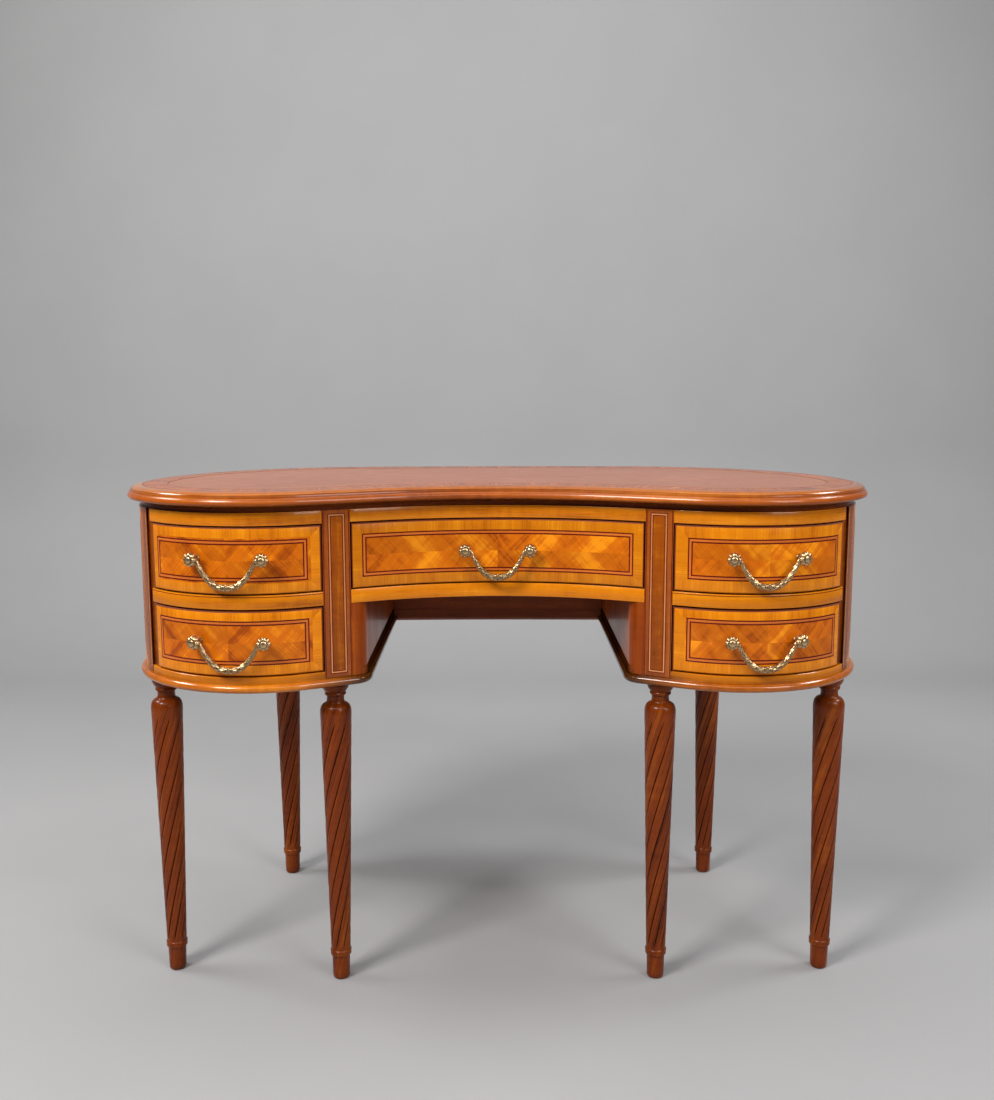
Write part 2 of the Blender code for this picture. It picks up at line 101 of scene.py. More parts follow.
END_CX = LOBE_CX + LOBE_R - END_R
_k = REAR_Y - LOBE_CY
REAR_R = (END_CX ** 2 + _k * _k - END_R ** 2) / (2.0 * (_k - END_R))
REAR_CY = REAR_Y - REAR_R
END_TURN = math.atan2(LOBE_CY - REAR_CY, END_CX)


def lobe_point(turn, d=0.0):
    r = LOBE_R + d
    return (LOBE_CX + r * math.sin(turn), LOBE_CY - r * math.cos(turn))


def end_point(turn, d=0.0):
    r = END_R + d
    return (END_CX + r * math.cos(turn), LOBE_CY + r * math.sin(turn))


def rear_point(x, d=0.0):
    r = REAR_R + d
    return (x, REAR_CY + math.sqrt(r * r - x * x))


def rear_meet(d=0.0):
    return end_point(END_TURN, d)[0]


def steps(a, b, n):
    return [a + (b - a) * i / n for i in range(n + 1)]


def half_outline(d, n_hollow=34, n_flank=6, n_lobe=56, n_end=60, n_rear=14):
    p, q = flank(d)
    pts = [(x, front_y(x, d)) for x in steps(0.0, p.x, n_hollow)]
    pts += [(p.x + (q.x - p.x) * t, p.y + (q.y - p.y) * t)
            for t in steps(0.0, 1.0, n_flank)[1:-1]]
    start = math.atan2(q.x - LOBE_CX, LOBE_CY - q.y)
    pts += [lobe_point(t, d) for t in steps(start, math.pi / 2, n_lobe)]
    pts += [end_point(t, d) for t in steps(0.0, END_TURN, n_end)[1:]]
    pts += [rear_point(x, d) for x in steps(rear_meet(d), 0.0, n_rear)[1:]]
    return pts


def full_outline(d):
    """The whole outline, from the middle of the back round to it again."""
    half = half_outline(d)
    return [(-x, y) for x, y in reversed(half[1:])] + half[:-1]


def pedestal_plan(d, n_turn=16, n_lobe=56, n_end=60, n_wall=3):
    """Right pedestal: rounded kneehole corner, bow, end, back, kneehole wall."""
    wall, turn = KNEE_X - d, KNEE_ROUND + d
    p, q = flank(d)
    slope = (q - p).normalized()
    corner = p + slope * ((wall - p.x) / slope.x)
    half_bend = (math.pi / 2 - math.atan2(-slope.y, slope.x)) / 2
    run = turn * math.tan(half_bend)
    a, b = corner + slope * run, corner + Vector((0.0, run))
    centre = Vector((wall + turn, b.y))
    ang_a = math.atan2(a.y - centre.y, a.x - centre.x)
    if ang_a < 0:
        ang_a += 2 * math.pi
    pts = [(centre.x + turn * math.cos(t), centre.y + turn * math.sin(t))
           for t in steps(math.pi, ang_a, n_turn)]
    start = math.atan2(q.x - LOBE_CX, LOBE_CY - q.y)
    pts += [lobe_point(t, d) for t in steps(start, math.pi / 2, n_lobe)]
    pts += [end_point(t, d) for t in steps(0.0, END_TURN, n_end)[1:]]
    back = rear_point(wall, d)
    pts += [rear_point(wall + 0.0006, d), back]
    pts += [(wall, y) for y in steps(back[1], b.y, n_wall)[1:-1]]
    return pts


# ---------------------------------------------------------------- materials
class Graph:
    """A material's node tree, with short ways to make the usual nodes."""

    def __init__(self, name):
        self.mat = bpy.data.materials.new(name)
        self.mat.use_nodes = True
        self.tree = self.mat.node_tree
        self.tree.nodes.clear()
        out = self.tree.nodes.new("ShaderNodeOutputMaterial")
        self.bsdf = self.tree.nodes.new("ShaderNodeBsdfPrincipled")
        self.link(self.bsdf.outputs[0], out.inputs["Surface"])

    def link(self, a, b):
        self.tree.links.new(a, b)

    def feed(self, socket, value):
        if isinstance(value, bpy.types.NodeSocket):
            self.link(value, socket)
        else:
            socket.default_value = value

    def uv(self):
        n = self.tree.nodes.new("ShaderNodeUVMap")
        n.uv_map = "grain"
        return n.outputs[0]

    def place(self):
        return self.tree.nodes.new("ShaderNodeTexCoord").outputs["Object"]

    def attr(self, name):
        n = self.tree.nodes.new("ShaderNodeAttribute")
        n.attribute_name = name
        return n.outputs["Fac"]

    def stretch(self, vec, scale, shift=(0.0, 0.0, 0.0)):
        n = self.tree.nodes.new("ShaderNodeMapping")
        n.inputs["Scale"].default_value = scale
        n.inputs["Location"].default_value = shift
        self.link(vec, n.inputs["Vector"])
        return n.outputs[0]

    def noise(self, vec, scale=1.0, detail=3.0, rough=0.5, twist=0.0):
        n = self.tree.nodes.new("ShaderNodeTexNoise")
        n.inputs["Scale"].default_value = scale
        n.inputs["Detail"].default_value = detail
        n.inputs["Roughness"].default_value = rough
        n.inputs["Distortion"].default_value = twist
        self.link(vec, n.inputs["Vector"])
        return n.outputs["Fac"]

    def cells(self, vec, scale, feature="F1"):
        n = self.tree.nodes.new("ShaderNodeTexVoronoi")
        n.feature = feature
        n.inputs["Scale"].default_value = scale
        self.link(vec, n.inputs["Vector"])
        return n.outputs["Distance"]

    def math(self, op, a, b=0.0, c=None, clamp=False):
        n = self.tree.nodes.new("ShaderNodeMath")
        n.operation = op
        n.use_clamp = clamp
        self.feed(n.inputs[0], a)
        self.feed(n.inputs[1], b)
        if c is not None:
            self.feed(n.inputs[2], c)
        return n.outputs[0]

    def span(self, value, lo, hi, to_lo=0.0, to_hi=1.0):
        n = self.tree.nodes.new("ShaderNodeMapRange")
        n.inputs["From Min"].default_value = lo
        n.inputs["From Max"].default_value = hi
        n.inputs["To Min"].default_value = to_lo
        n.inputs["To Max"].default_value = to_hi
        self.link(value, n.inputs["Value"])
        return n.outputs[0]

    def ramp(self, value, stops):
        n = self.tree.nodes.new("ShaderNodeValToRGB")
        n.color_ramp.interpolation = "EASE"
        el = n.color_ramp.elements
        while len(el) < len(stops):
            el.new(0.5)
        for e, (at, rgb) in zip(el, stops):
            e.position = at
            e.color = (*rgb, 1.0)
        self.link(value, n.inputs[0])
        return n.outputs[0]

    def mix(self, fac, a, b, how="MIX"):
        n = self.tree.nodes.new("ShaderNodeMix")
        n.data_type = "RGBA"
        n.blend_type = how
        self.feed(n.inputs["Factor"], fac)
        self.feed(n.inputs[6], a if isinstance(a, bpy.types.NodeSocket) else (*a, 1.0))
        self.feed(n.inputs[7], b if isinstance(b, bpy.types.NodeSocket) else (*b, 1.0))
        return n.outputs[2]

    def shade(self, colour, value):
        """Multiplies a colour by a grey value."""
        n = self.tree.nodes.new("ShaderNodeVectorMath")
        n.operation = "SCALE"
        self.link(colour, n.inputs[0])
        self.feed(n.inputs["Scale"], value)
        return n.outputs[0]

    def bump(self, height, strength, distance):
        n = self.tree.nodes.new("ShaderNodeBump")
        n.inputs["Strength"].default_value = strength
        n.inputs["Distance"].default_value = distance
        self.link(height, n.inputs["Height"])
        self.link(n.outputs[0], self.bsdf.inputs["Normal"])

    def set(self, **values):
        for key, value in values.items():
            self.feed(self.bsdf.inputs[key.replace("_", " ").title().replace("Ior", "IOR")], value)
        return self.mat


def wood(name, dark, mid, light, figure=0.16, pores=0.0, coat=0.35, rough=0.27, streak=1.0,
         mottle=0.35, band=46.0, spec=0.38):
    """Polished wood, its grain along U of the map called grain, in metres."""
    g = Graph(name)
    uv = g.uv()
    warp = g.noise(g.stretch(uv, (3.0, 9.0, 1.0)), 1.0, 2.0)
    broad = g.noise(g.stretch(uv, (2.6, band, 1.0)), 1.0, 4.0, 0.55, 0.35)
    fibre = g.noise(g.stretch(uv, (16.0, 480.0, 1.0), (3.1, 7.7, 0.0)), 1.0, 3.0, 0.6)
    ripple = g.noise(g.stretch(uv, (95.0, 22.0, 1.0), (1.3, 4.9, 0.0)), 1.0, 2.0, 0.5, 0.6)
    cloud = g.noise(g.stretch(uv, (13.0, 24.0, 1.0), (9.0, 2.0, 0.0)), 1.0, 3.0, 0.55, 0.5)
    v = g.math("MULTIPLY_ADD", g.math("SUBTRACT", broad, 0.5), 1.25 * streak, 0.5)
    v = g.math("MULTIPLY_ADD", g.math("SUBTRACT", fibre, 0.5), 0.45, v)
    v = g.math("MULTIPLY_ADD", g.math("SUBTRACT", ripple, 0.5), figure * 2.0, v)
    v = g.math("MULTIPLY_ADD", g.math("SUBTRACT", cloud, 0.5), mottle, v)
    v = g.math("MULTIPLY_ADD", g.math("SUBTRACT", warp, 0.5), 0.25, v)
    col = g.ramp(v, [(0.16, dark), (0.50, mid), (0.84, light)])
    if pores:
        dash = g.noise(g.stretch(uv, (60.0, 1500.0, 1.0), (5.0, 1.0, 0.0)), 1.0, 1.0)
        dash = g.span(dash, 0.60, 0.70)
        col = g.mix(g.math("MULTIPLY", dash, pores), col, tuple(c * 0.35 for c in dark))
    col = g.shade(col, g.attr("tone"))
    smear = g.noise(g.stretch(uv, (11.0, 14.0, 1.0), (2.0, 8.0, 0.0)), 1.0, 4.0, 0.65)
    r = g.math("MULTIPLY_ADD", g.math("SUBTRACT", smear, 0.5), 0.22, rough)
    r = g.math("MULTIPLY_ADD", g.math("SUBTRACT", fibre, 0.5), 0.10, r)
    wave = g.noise(g.stretch(uv, (9.0, 26.0, 1.0), (4.0, 1.0, 0.0)), 1.0, 1.0)
    height = g.math("MULTIPLY_ADD", fibre, 0.12, wave)
    g.bump(height, 0.22, 0.0006)
    return g.set(base_color=col, roughness=r, coat_weight=coat, coat_roughness=0.06,
                 specular_ior_level=spec)


SATIN = wood("satinwood", (0.34, 0.058, 0.0010), (0.62, 0.140, 0.0018), (0.90, 0.290, 0.007),
             figure=0.26, streak=1.20, mottle=0.75, band=34.0, coat=0.19, spec=0.18)
BAND = wood("satinwood_band", (0.45, 0.104, 0.0014), (0.72, 0.210, 0.0024), (0.93, 0.335, 0.008),
            figure=0.12, streak=0.75, coat=0.19, spec=0.18)
MAHOG = wood("mahogany", (0.080, 0.012, 0.0012), (0.205, 0.034, 0.0020), (0.350, 0.078, 0.005),
             figure=0.10, pores=0.55, coat=0.12, spec=0.14)
POSTW = wood("mahogany_post", (0.125, 0.018, 0.0015), (0.280, 0.047, 0.0025), (0.43, 0.092, 0.006),
             figure=0.10, pores=0.35, coat=0.28, spec=0.28)
KNEEW = wood("mahogany_knee", (0.125, 0.018, 0.0005), (0.272, 0.045, 0.0008), (0.42, 0.088, 0.002),
             figure=0.10, pores=0.40, coat=0.13, rough=0.33, spec=0.18)
EDGEW = wood("mahogany_edge", (0.150, 0.025, 0.0012), (0.34, 0.070, 0.0030), (0.53, 0.138, 0.008),
             figure=0.12, pores=0.25, coat=0.26, spec=0.26)
NOSEW = wood("base_nose", (0.260, 0.053, 0.0012), (0.47, 0.118, 0.0028), (0.65, 0.205, 0.008),
             figure=0.14, pores=0.15, coat=0.50, rough=0.22, spec=0.34)
STILEW = wood("post_veneer", (0.160, 0.028, 0.0020), (0.315, 0.066, 0.0050), (0.47, 0.125, 0.012),
              figure=0.14, pores=0.15, coat=0.26, spec=0.27)
STRIP = wood("post_strip", (0.160, 0.027, 0.0005), (0.300, 0.061, 0.0007), (0.46, 0.122, 0.0014),
             figure=0.24, coat=0.18, spec=0.20, mottle=0.6)
LINE = wood("line_dark", (0.060, 0.003, 0.0010), (0.135, 0.006, 0.0016), (0.215, 0.014, 0.003),
            figure=0.05, coat=0.15, spec=0.18)
STRING = wood("line_warm", (0.44, 0.092, 0.010), (0.63, 0.160, 0.019), (0.80, 0.250, 0.040),
              figure=0.05, coat=0.25, spec=0.28)
PINK = wood("line_pale", (0.46, 0.150, 0.040), (0.62, 0.250, 0.080), (0.78, 0.370, 0.140),
            figure=0.05, coat=0.30, spec=0.30)
INNER = wood("mahogany_bare", (0.150, 0.026, 0.0060), (0.285, 0.054, 0.0105), (0.430, 0.098, 0.019),
             figure=0.06, pores=0.5, coat=0.0, rough=0.52, spec=0.20)
# Near-black wood for the painted shade along the foot of the kneehole sides.
SHADE_FILLET_WOOD = wood("painted_shade_dark", (0.020, 0.0050, 0.0014), (0.042, 0.0105, 0.0026), (0.070, 0.0180, 0.0050),
            figure=0.06, pores=0.5, coat=0.0, rough=0.6, spec=0.0)
OAK = wood("drawer_oak", (0.20, 0.110, 0.045), (0.36, 0.220, 0.105), (0.48, 0.320, 0.175),
           figure=0.06, pores=0.45, coat=0.0, rough=0.58)
PINE = wood("carcass_pine", (0.22, 0.120, 0.050), (0.38, 0.235, 0.115), (0.50, 0.340, 0.190),
            figure=0.04, coat=0.0, rough=0.62)


def hide():
    g = Graph("hide")
    uv = g.uv()
    patch = g.noise(g.stretch(uv, (5.0, 6.5, 1.0)), 1.0, 7.0, 0.68, 0.3)
    scuff = g.noise(g.stretch(uv, (30.0, 70.0, 1.0), (2.0, 5.0, 0.0)), 1.0, 6.0, 0.7)
    hair = g.noise(g.stretch(uv, (14.0, 420.0, 1.0), (6.0, 1.0, 0.0)), 1.0, 2.0, 0.5, 1.2)
    pebble = g.cells(g.stretch(uv, (1.0, 1.0, 1.0)), 900.0)
    col = g.ramp(patch, [(0.28, (0.238, 0.071, 0.034)), (0.50, (0.285, 0.090, 0.043)),
                         (0.72, (0.332, 0.112, 0.055))])
    col = g.mix(g.span(scuff, 0.60, 0.80, 0.0, 0.40), col, (0.48, 0.215, 0.125))
    col = g.mix(g.span(hair, 0.66, 0.76, 0.0, 0.30), col, (0.46, 0.205, 0.120))
    col = g.mix(g.span(pebble, 0.0, 0.45, 0.28, 0.0), col, (0.12, 0.030, 0.014))
    col = g.shade(col, g.attr("tone"))
    r = g.math("MULTIPLY_ADD", g.math("SUBTRACT", scuff, 0.5), 0.35, 0.44)
    height = g.math("MULTIPLY_ADD", pebble, 0.5, g.math("MULTIPLY", scuff, 0.4))
    g.bump(height, 0.25, 0.0005)
    return g.set(base_color=col, roughness=r, specular_ior_level=0.36, sheen_weight=0.10,
                 sheen_roughness=0.5)


def metal(name, bright, dull, rough):
    g = Graph(name)
    at = g.place()
    patina = g.noise(at, 90.0, 4.0, 0.6)
    speck = g.noise(at, 520.0, 2.0, 0.5)
    tone = g.attr("tone")
    keep = g.math("MULTIPLY_ADD", g.math("SUBTRACT", patina, 0.5), 0.9, tone, clamp=True)
    col = g.mix(keep, dull, bright)
    r = g.math("MULTIPLY_ADD", g.math("SUBTRACT", speck, 0.5), 0.3, rough)
    r = g.math("MULTIPLY_ADD", g.math("SUBTRACT", 1.0, keep), 0.22, r)
    g.bump(speck, 0.25, 0.0002)
    return g.set(base_color=col, metallic=1.0, roughness=r)


HIDE = hide()
BRASS = metal("antique_brass", (0.70, 0.475, 0.25), (0.120, 0.068, 0.025), 0.29)
GILT = metal("gilt_tooling", (0.62, 0.40, 0.15), (0.26, 0.14, 0.05), 0.40)


# ---------------------------------------------------------------- mesh makers
class Shape:
    """Collects patches of faces with their grain map, then welds them."""

    def __init__(self):
        self.verts, self.faces, self.uv, self.mat, self.tone = [], [], [], [], []
        self.count = 0

    def grid(self, pts, uv, mat=0, tone=1.0):
        """pts: rows x columns x 3, uv: rows x columns x 2, tone: one or rows x columns."""
        pts, uv = np.asarray(pts, float), np.asarray(uv, float)
        n, m = pts.shape[:2]
        tones = np.broadcast_to(np.asarray(tone, float), (n, m))
        base = self.count
        self.verts.append(pts.reshape(-1, 3))
        self.count += n * m
        for i in range(n - 1):
            for j in range(m - 1):
                quad = ((i, j), (i, j + 1), (i + 1, j + 1), (i + 1, j))
                self.faces.append([base + a * m + b for a, b in quad])
                self.uv.extend(uv[a, b] for a, b in quad)
                self.tone.extend(tones[a, b] for a, b in quad)
                self.mat.append(mat)

    def face(self, pts, uv, mat=0, tone=1.0):
        pts = np.asarray(pts, float)
        base = self.count
        self.verts.append(pts)
        self.count += len(pts)
        self.faces.append(list(range(base, base + len(pts))))
        self.uv.extend(np.asarray(uv, float))
        self.tone.extend([tone] * len(pts))
        self.mat.append(mat)

    def build(self, name, mats, body, replaces=(), sharp=34.0, weld=2e-6):
        me = bpy.data.meshes.new(name)
        me.from_pydata(np.concatenate(self.verts).tolist(), [], self.faces)
        layer = me.uv_layers.new(name="grain")
        layer.data.foreach_set("uv", np.asarray(self.uv, np.float32).ravel())
        tone = me.attributes.new("tone", "FLOAT", "CORNER")
        tone.data.foreach_set("value", np.asarray(self.tone, np.float32))
        me.polygons.foreach_set("material_index", np.asarray(self.mat, np.int32))
        for m in mats:
            me.materials.append(m)
        bm = bmesh.new()
        bm.from_mesh(me)
        bmesh.ops.remove_doubles(bm, verts=bm.verts, dist=weld)
        bmesh.ops.dissolve_degenerate(bm, edges=bm.edges, dist=1e-7)
        bmesh.ops.recalc_face_normals(bm, faces=bm.faces)
        bm.to_mesh(me)
        bm.free()
        me.shade_smooth()
        me.set_sharp_from_angle(angle=math.radians(sharp))
        ob = bpy.data.objects.new(name, me)
        bpy.context.scene.collection.objects.link(ob)
        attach(ob, body)
        if replaces:
            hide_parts(*replaces)
        return ob


def arc_len(pts, closed=False):
    p = np.asarray(pts, float)
    if closed:
        p = np.vstack([p, p[:1]])
    return np.concatenate([[0.0], np.cumsum(np.linalg.norm(np.diff(p, axis=0), axis=1))])


def luck(spread=1.0):
    return random.uniform(-spread, spread)


def tone_of(spread):
    return 1.0 + luck(spread)


class Front:
    """The drawer side between two x: u along it, v up from z0, d outwards."""

    def __init__(self, x0, x1, z0):
        self.xs = np.linspace(x0, x1, 501)
        ys = np.array([front_y(x) for x in self.xs])
        self.s = arc_len(np.stack([self.xs, ys], -1))
        self.width, self.z0 = self.s[-1], z0

    def u(self, x):
        return float(np.interp(x, self.xs, self.s))

    def __call__(self, u, v, d):
        u, v, d = np.broadcast_arrays(np.asarray(u, float), np.asarray(v, float),
                                      np.asarray(d, float))
        x = np.interp(u, self.s, self.xs)
        y = np.array([front_y(a, b) for a, b in zip(x.ravel(), d.ravel())]).reshape(x.shape)
        return np.stack([x, y, v + self.z0], -1)


class Wall:
    """A standing face over a plan line: u along it, v up from z0, d outwards."""

    def __init__(self, line, out, z0):
        """line: function of d giving like-numbered plan points; out is not needed."""
        self.line, self.z0 = line, z0
        self.s = arc_len(line(0.0))
        self.width = self.s[-1]

    def __call__(self, u, v, d):
        u, v, d = np.broadcast_arrays(np.asarray(u, float), np.asarray(v, float),
                                      np.asarray(d, float))
        base = np.asarray(self.line(0.0))
        shifted = np.asarray(self.line(0.01))
        out = (shifted - base) / 0.01
        x = np.interp(u, self.s, base[:, 0]) + d * np.interp(u, self.s, out[:, 0])
        y = np.interp(u, self.s, base[:, 1]) + d * np.interp(u, self.s, out[:, 1])
        return np.stack([x, y, v + self.z0], -1)


def rim(f, u0, u1, v0, v1, d, n, m):
    us, vs = np.linspace(u0, u1, n + 1), np.linspace(v0, v1, m + 1)
    return {"low": (f(us, v0, d), us), "high": (f(us, v1, d), us),
            "left": (f(u0, vs, d), vs), "right": (f(u1, vs, d), vs)}


def panel(sh, f, height, rings, n, m, field, mats, inside=None, lead=None, dims=(0.35, 0.65),
          foot=None):
    """A curved board: rings of (inset, d) from its back edge inwards, then a field.

    mats: material number and grain way ("cross" or "along") of each band between rings.
    """
    w = f.width
    rims = [rim(f, o, w - o, o, height - o, d, n, m) for o, d in rings]
    run = np.concatenate([[0.0], np.cumsum([math.hypot(b[0] - a[0], b[1] - a[1])
                                            for a, b in zip(rings, rings[1:])])])
    for k, (a, b) in enumerate(zip(rims, rims[1:])):
        number, way = mats[k]
        for j, side in enumerate(("low", "high", "left", "right")):
            shift = 3.7 * j
            rows = []
            for edge, across in ((a, run[k]), (b, run[k + 1])):
                along = edge[side][1]
                if way == "cross":
                    rows.append(np.stack([np.full_like(along, across + shift),
                                          along + shift], -1))
                else:
                    rows.append(np.stack([along + shift, np.full_like(along, across)], -1))
            own = number if lead is None or side != "left" else lead
            if lead is not None and side == "left":
                rows = [q[:, ::-1] for q in rows]
            # dims darken the edge bands as painted shade in the gaps round the board; with foot, the lower edge
            # bands take that material at 0.8 instead.
            dim = dims[k] if k < len(dims) else 1.0
            if foot is not None and side == "low" and k < 4:
                own, dim = foot, 0.8
            sh.grid([a[side][0], b[side][0]], rows, own, dim * (1.0, 0.96, 0.93, 1.03)[j])
    o, d = rings[-1]
    field(sh, f, o, w - o, o, height - o, d, n, m)
    us, vs = np.linspace(rings[0][0], w - rings[0][0], n + 1), np.linspace(
        rings[0][0], height - rings[0][0], m + 1)
    uu, vv = np.meshgrid(us, vs)
    sh.grid(f(uu, vv, rings[0][1]), np.stack([uu, vv], -1), mats[0][0] if inside is None else inside, 0.6)


def quartered(number, turn=47.0, tones=(1.0, 0.9, 0.94, 1.05)):
    """A field of four veneers, mirrored about both middle lines."""
    def lay(sh, f, u0, u1, v0, v1, d, n, m):
        uc, vc = (u0 + u1) / 2, (v0 + v1) / 2
        t, shift = math.radians(turn), luck(20.0)
        us, vs = np.linspace(u0, u1, n + 1), np.linspace(v0, v1, m + 1)
        k = 0
        for i0, i1 in ((0, n // 2), (n // 2, n)):
            for j0, j1 in ((0, m // 2), (m // 2, m)):
                uu, vv = np.meshgrid(us[i0:i1 + 1], vs[j0:j1 + 1])
                a, b = np.abs(uu - uc), np.abs(vv - vc)
                uv = np.stack([a * math.cos(t) + b * math.sin(t) + shift,
                               b * math.cos(t) - a * math.sin(t) + shift + 0.013 * k], -1)
                sh.grid(f(uu, vv, d), uv, number, tones[k])
                k += 1
    return lay


def plain(number, upright=False, tone=1.0):
    def lay(sh, f, u0, u1, v0, v1, d, n, m):
        shift = luck(20.0)
        uu, vv = np.meshgrid(np.linspace(u0, u1, n + 1), np.linspace(v0, v1, m + 1))
        pair = (vv, uu) if upright else (uu, vv)
        sh.grid(f(uu, vv, d), np.stack(pair, -1) + shift, number, tone)
    return lay


def inlay_loop(sh, f, u0, u1, v0, v1, width, number, n, m, proud=0.00008, deep=0.0006):
    """A band let in round a rectangle of a curved face."""
    corners = [(0.0, -deep), (0.0, proud), (width, proud), (width, -deep)]
    rims = [rim(f, u0 + o, u1 - o, v0 + o, v1 - o, d, n, m) for o, d in corners]
    for a, b in zip(rims, rims[1:] + rims[:1]):
        for side in ("low", "high", "left", "right"):
            along = a[side][1]
            uv = [np.stack([along, np.zeros_like(along)], -1),
                  np.stack([along, np.full_like(along, width)], -1)]
            sh.grid([a[side][0], b[side][0]], uv, number)


def inlay_plate(sh, f, u0, u1, v0, v1, number, n, m, upright=True, proud=0.00006, deep=0.0006,
                tone=1.0):
    """A flat piece let into a curved face."""
    outer = rim(f, u0, u1, v0, v1, -deep, n, m)
    inner = rim(f, u0, u1, v0, v1, proud, n, m)
    for side in ("low", "high", "left", "right"):
        along = outer[side][1]
        uv = [np.stack([along, np.zeros_like(along)], -1), np.stack([along, np.full_like(along, deep)], -1)]
        sh.grid([outer[side][0], inner[side][0]], uv, number)
    shift = luck(9.0)
    uu, vv = np.meshgrid(np.linspace(u0, u1, n + 1), np.linspace(v0, v1, m + 1))
    pair = (vv, uu) if upright else (uu, vv)
    for d in (proud, -deep):
        sh.grid(f(uu, vv, d), np.stack(pair, -1) + shift, number, tone)


def shrink(pts, by):
    """A closed plan moved inwards by a small distance."""
    p = np.asarray(pts, float)
    e = np.roll(p, -1, 0) - p
    e /= np.linalg.norm(e, axis=1)[:, None]
    nrm = np.stack([-e[:, 1], e[:, 0]], -1)
    area = 0.5 * np.sum(p[:, 0] * np.roll(p[:, 1], -1) - p[:, 1] * np.roll(p[:, 0], -1))
    if area < 0:
        nrm = -nrm
    before = np.roll(nrm, 1, 0)
    s = nrm + before
    k = np.maximum(1.0 + np.sum(nrm * before, axis=1), 0.35)
    return p + by * s / k[:, None]


def prism(sh, pts, z0, z1, number=0, soft=0.0007, upright=False, tone=1.0):
    """A board of the given plan with eased edges."""
    shift = luck(20.0)
    small = shrink(pts, soft)
    loops = [(small, z0), (np.asarray(pts, float), z0 + soft),
             (np.asarray(pts, float), z1 - soft), (small, z1)]
    s = arc_len(pts, True)
    rows, maps = [], []
    run = 0.0
    for k, (p, z) in enumerate(loops):
        ring = np.column_stack([p, np.full(len(p), z)])
        rows.append(np.vstack([ring, ring[:1]]))
        h = np.full_like(s, z)
        maps.append((np.stack([h, s], -1) if upright else np.stack([s, h], -1)) + shift)
    if isinstance(tone, np.ndarray):            # one shade for each point of the plan
        low = high = float(tone.min())
        sh.grid(rows, maps, number, np.tile(np.append(tone, tone[0]), (4, 1)))
    else:
        low, high = tone if isinstance(tone, tuple) else (tone, tone)
        sh.grid(rows, maps, number, np.array([[low], [low], [high], [high]]))
    for (p, z), shade in ((loops[0], low), (loops[-1], high)):
        uv = p[:, ::-1] if upright else p
        sh.face(np.column_stack([p, np.full(len(p), z)]), uv + shift, number, shade)


def moulded(sh, plan, profile, numbers, tone=1.0, caps=True, along=True, across=1.0, under=None):
    """A stack of like-numbered closed plans after a profile of (offset, z)."""
    shift = luck(20.0)
    rows = [np.column_stack([np.asarray(plan(d)), np.full(len(plan(d)), z)]) for d, z in profile]
    tones = tone if isinstance(tone, list) else None
    s = arc_len(rows[0][:, :2], True)
    run = np.concatenate([[0.0], np.cumsum([math.hypot(b[0] - a[0], b[1] - a[1])
                                            for a, b in zip(profile, profile[1:])])])
    for k in range(len(rows) - 1):
        a, b = (np.vstack([r, r[:1]]) for r in (rows[k], rows[k + 1]))
        pair = [np.stack([s, np.full_like(s, run[k])], -1), np.stack([s, np.full_like(s, run[k + 1])], -1)]
        if not along:
            pair = [q[:, ::-1] for q in pair]
        sh.grid([a, b], np.asarray(pair) + shift, numbers[k] if isinstance(numbers, list) else numbers,
                np.asarray([[tones[k]], [tones[k + 1]]]) * across if tones else tone)
    if caps:
        last = numbers[-1] if isinstance(numbers, list) else numbers
        first = under if under is not None else numbers[0] if isinstance(numbers, list) else numbers
        flat = float(np.mean(tone))
        sh.face(rows[0], rows[0][:, :2], first, flat)
        sh.face(rows[-1], rows[-1][:, :2], last, flat)


def smooth_profile(points, n=4):
    """More points on a profile, by a spline through the given ones."""
    p = np.asarray(points, float)
    ext = np.vstack([2 * p[0] - p[1], p, 2 * p[-1] - p[-2]])
    out = []
    for i in range(1, len(ext) - 2):
        a, b, c, d = ext[i - 1:i + 3]
        for t in np.arange(n) / n:
            out.append(0.5 * (2 * b + (c - a) * t + (2 * a - 5 * b + 4 * c - d) * t * t
                              + (3 * b - a - 3 * c + d) * t ** 3))
    out.append(p[-1])
    return [tuple(q) for q in out]


def ease(t):
    t = max(0.0, min(1.0, t))
    return t * t * (3 - 2 * t)


def flipped(pts):
    return [(-x, y) for x, y in reversed(list(pts))]


SIDES = (("right", 1.0), ("left", -1.0))


def side_plan(plan, sign):
    return plan if sign > 0 else (lambda d: flipped(plan(d)))


# ---------------------------------------------------------------- top
# from below: undercut, bead, quirk, fillet, quirk, and a thumb moulding up to the flat
edge = smooth_profile([(NOSE - 0.0165, 0.0), (NOSE - 0.0148, 0.0011), (NOSE - 0.0116, 0.0022),
                       (NOSE - 0.0076, 0.0030)], 2)
edge += smooth_profile([(NOSE - 0.0046, 0.0034), (NOSE - 0.0020, 0.0045), (NOSE - 0.0005, 0.0062),
                        (NOSE, 0.0082), (NOSE - 0.0006, 0.0106), (NOSE - 0.0020, 0.0130),
                        (NOSE - 0.0034, 0.0142)], 3)
edge += [(NOSE - 0.0040, 0.0147), (NOSE - 0.0040, 0.0152), (NOSE - 0.0046, 0.0177),
         (NOSE - 0.0056, 0.0183)]
edge += smooth_profile([(NOSE - 0.0056, 0.0188), (NOSE - 0.0066, 0.0200), (NOSE - 0.0088, 0.0212),
                        (NOSE - 0.0125, 0.0223), (NOSE - 0.0170, 0.0231), (NOSE - 0.0215, 0.0235)], 3)
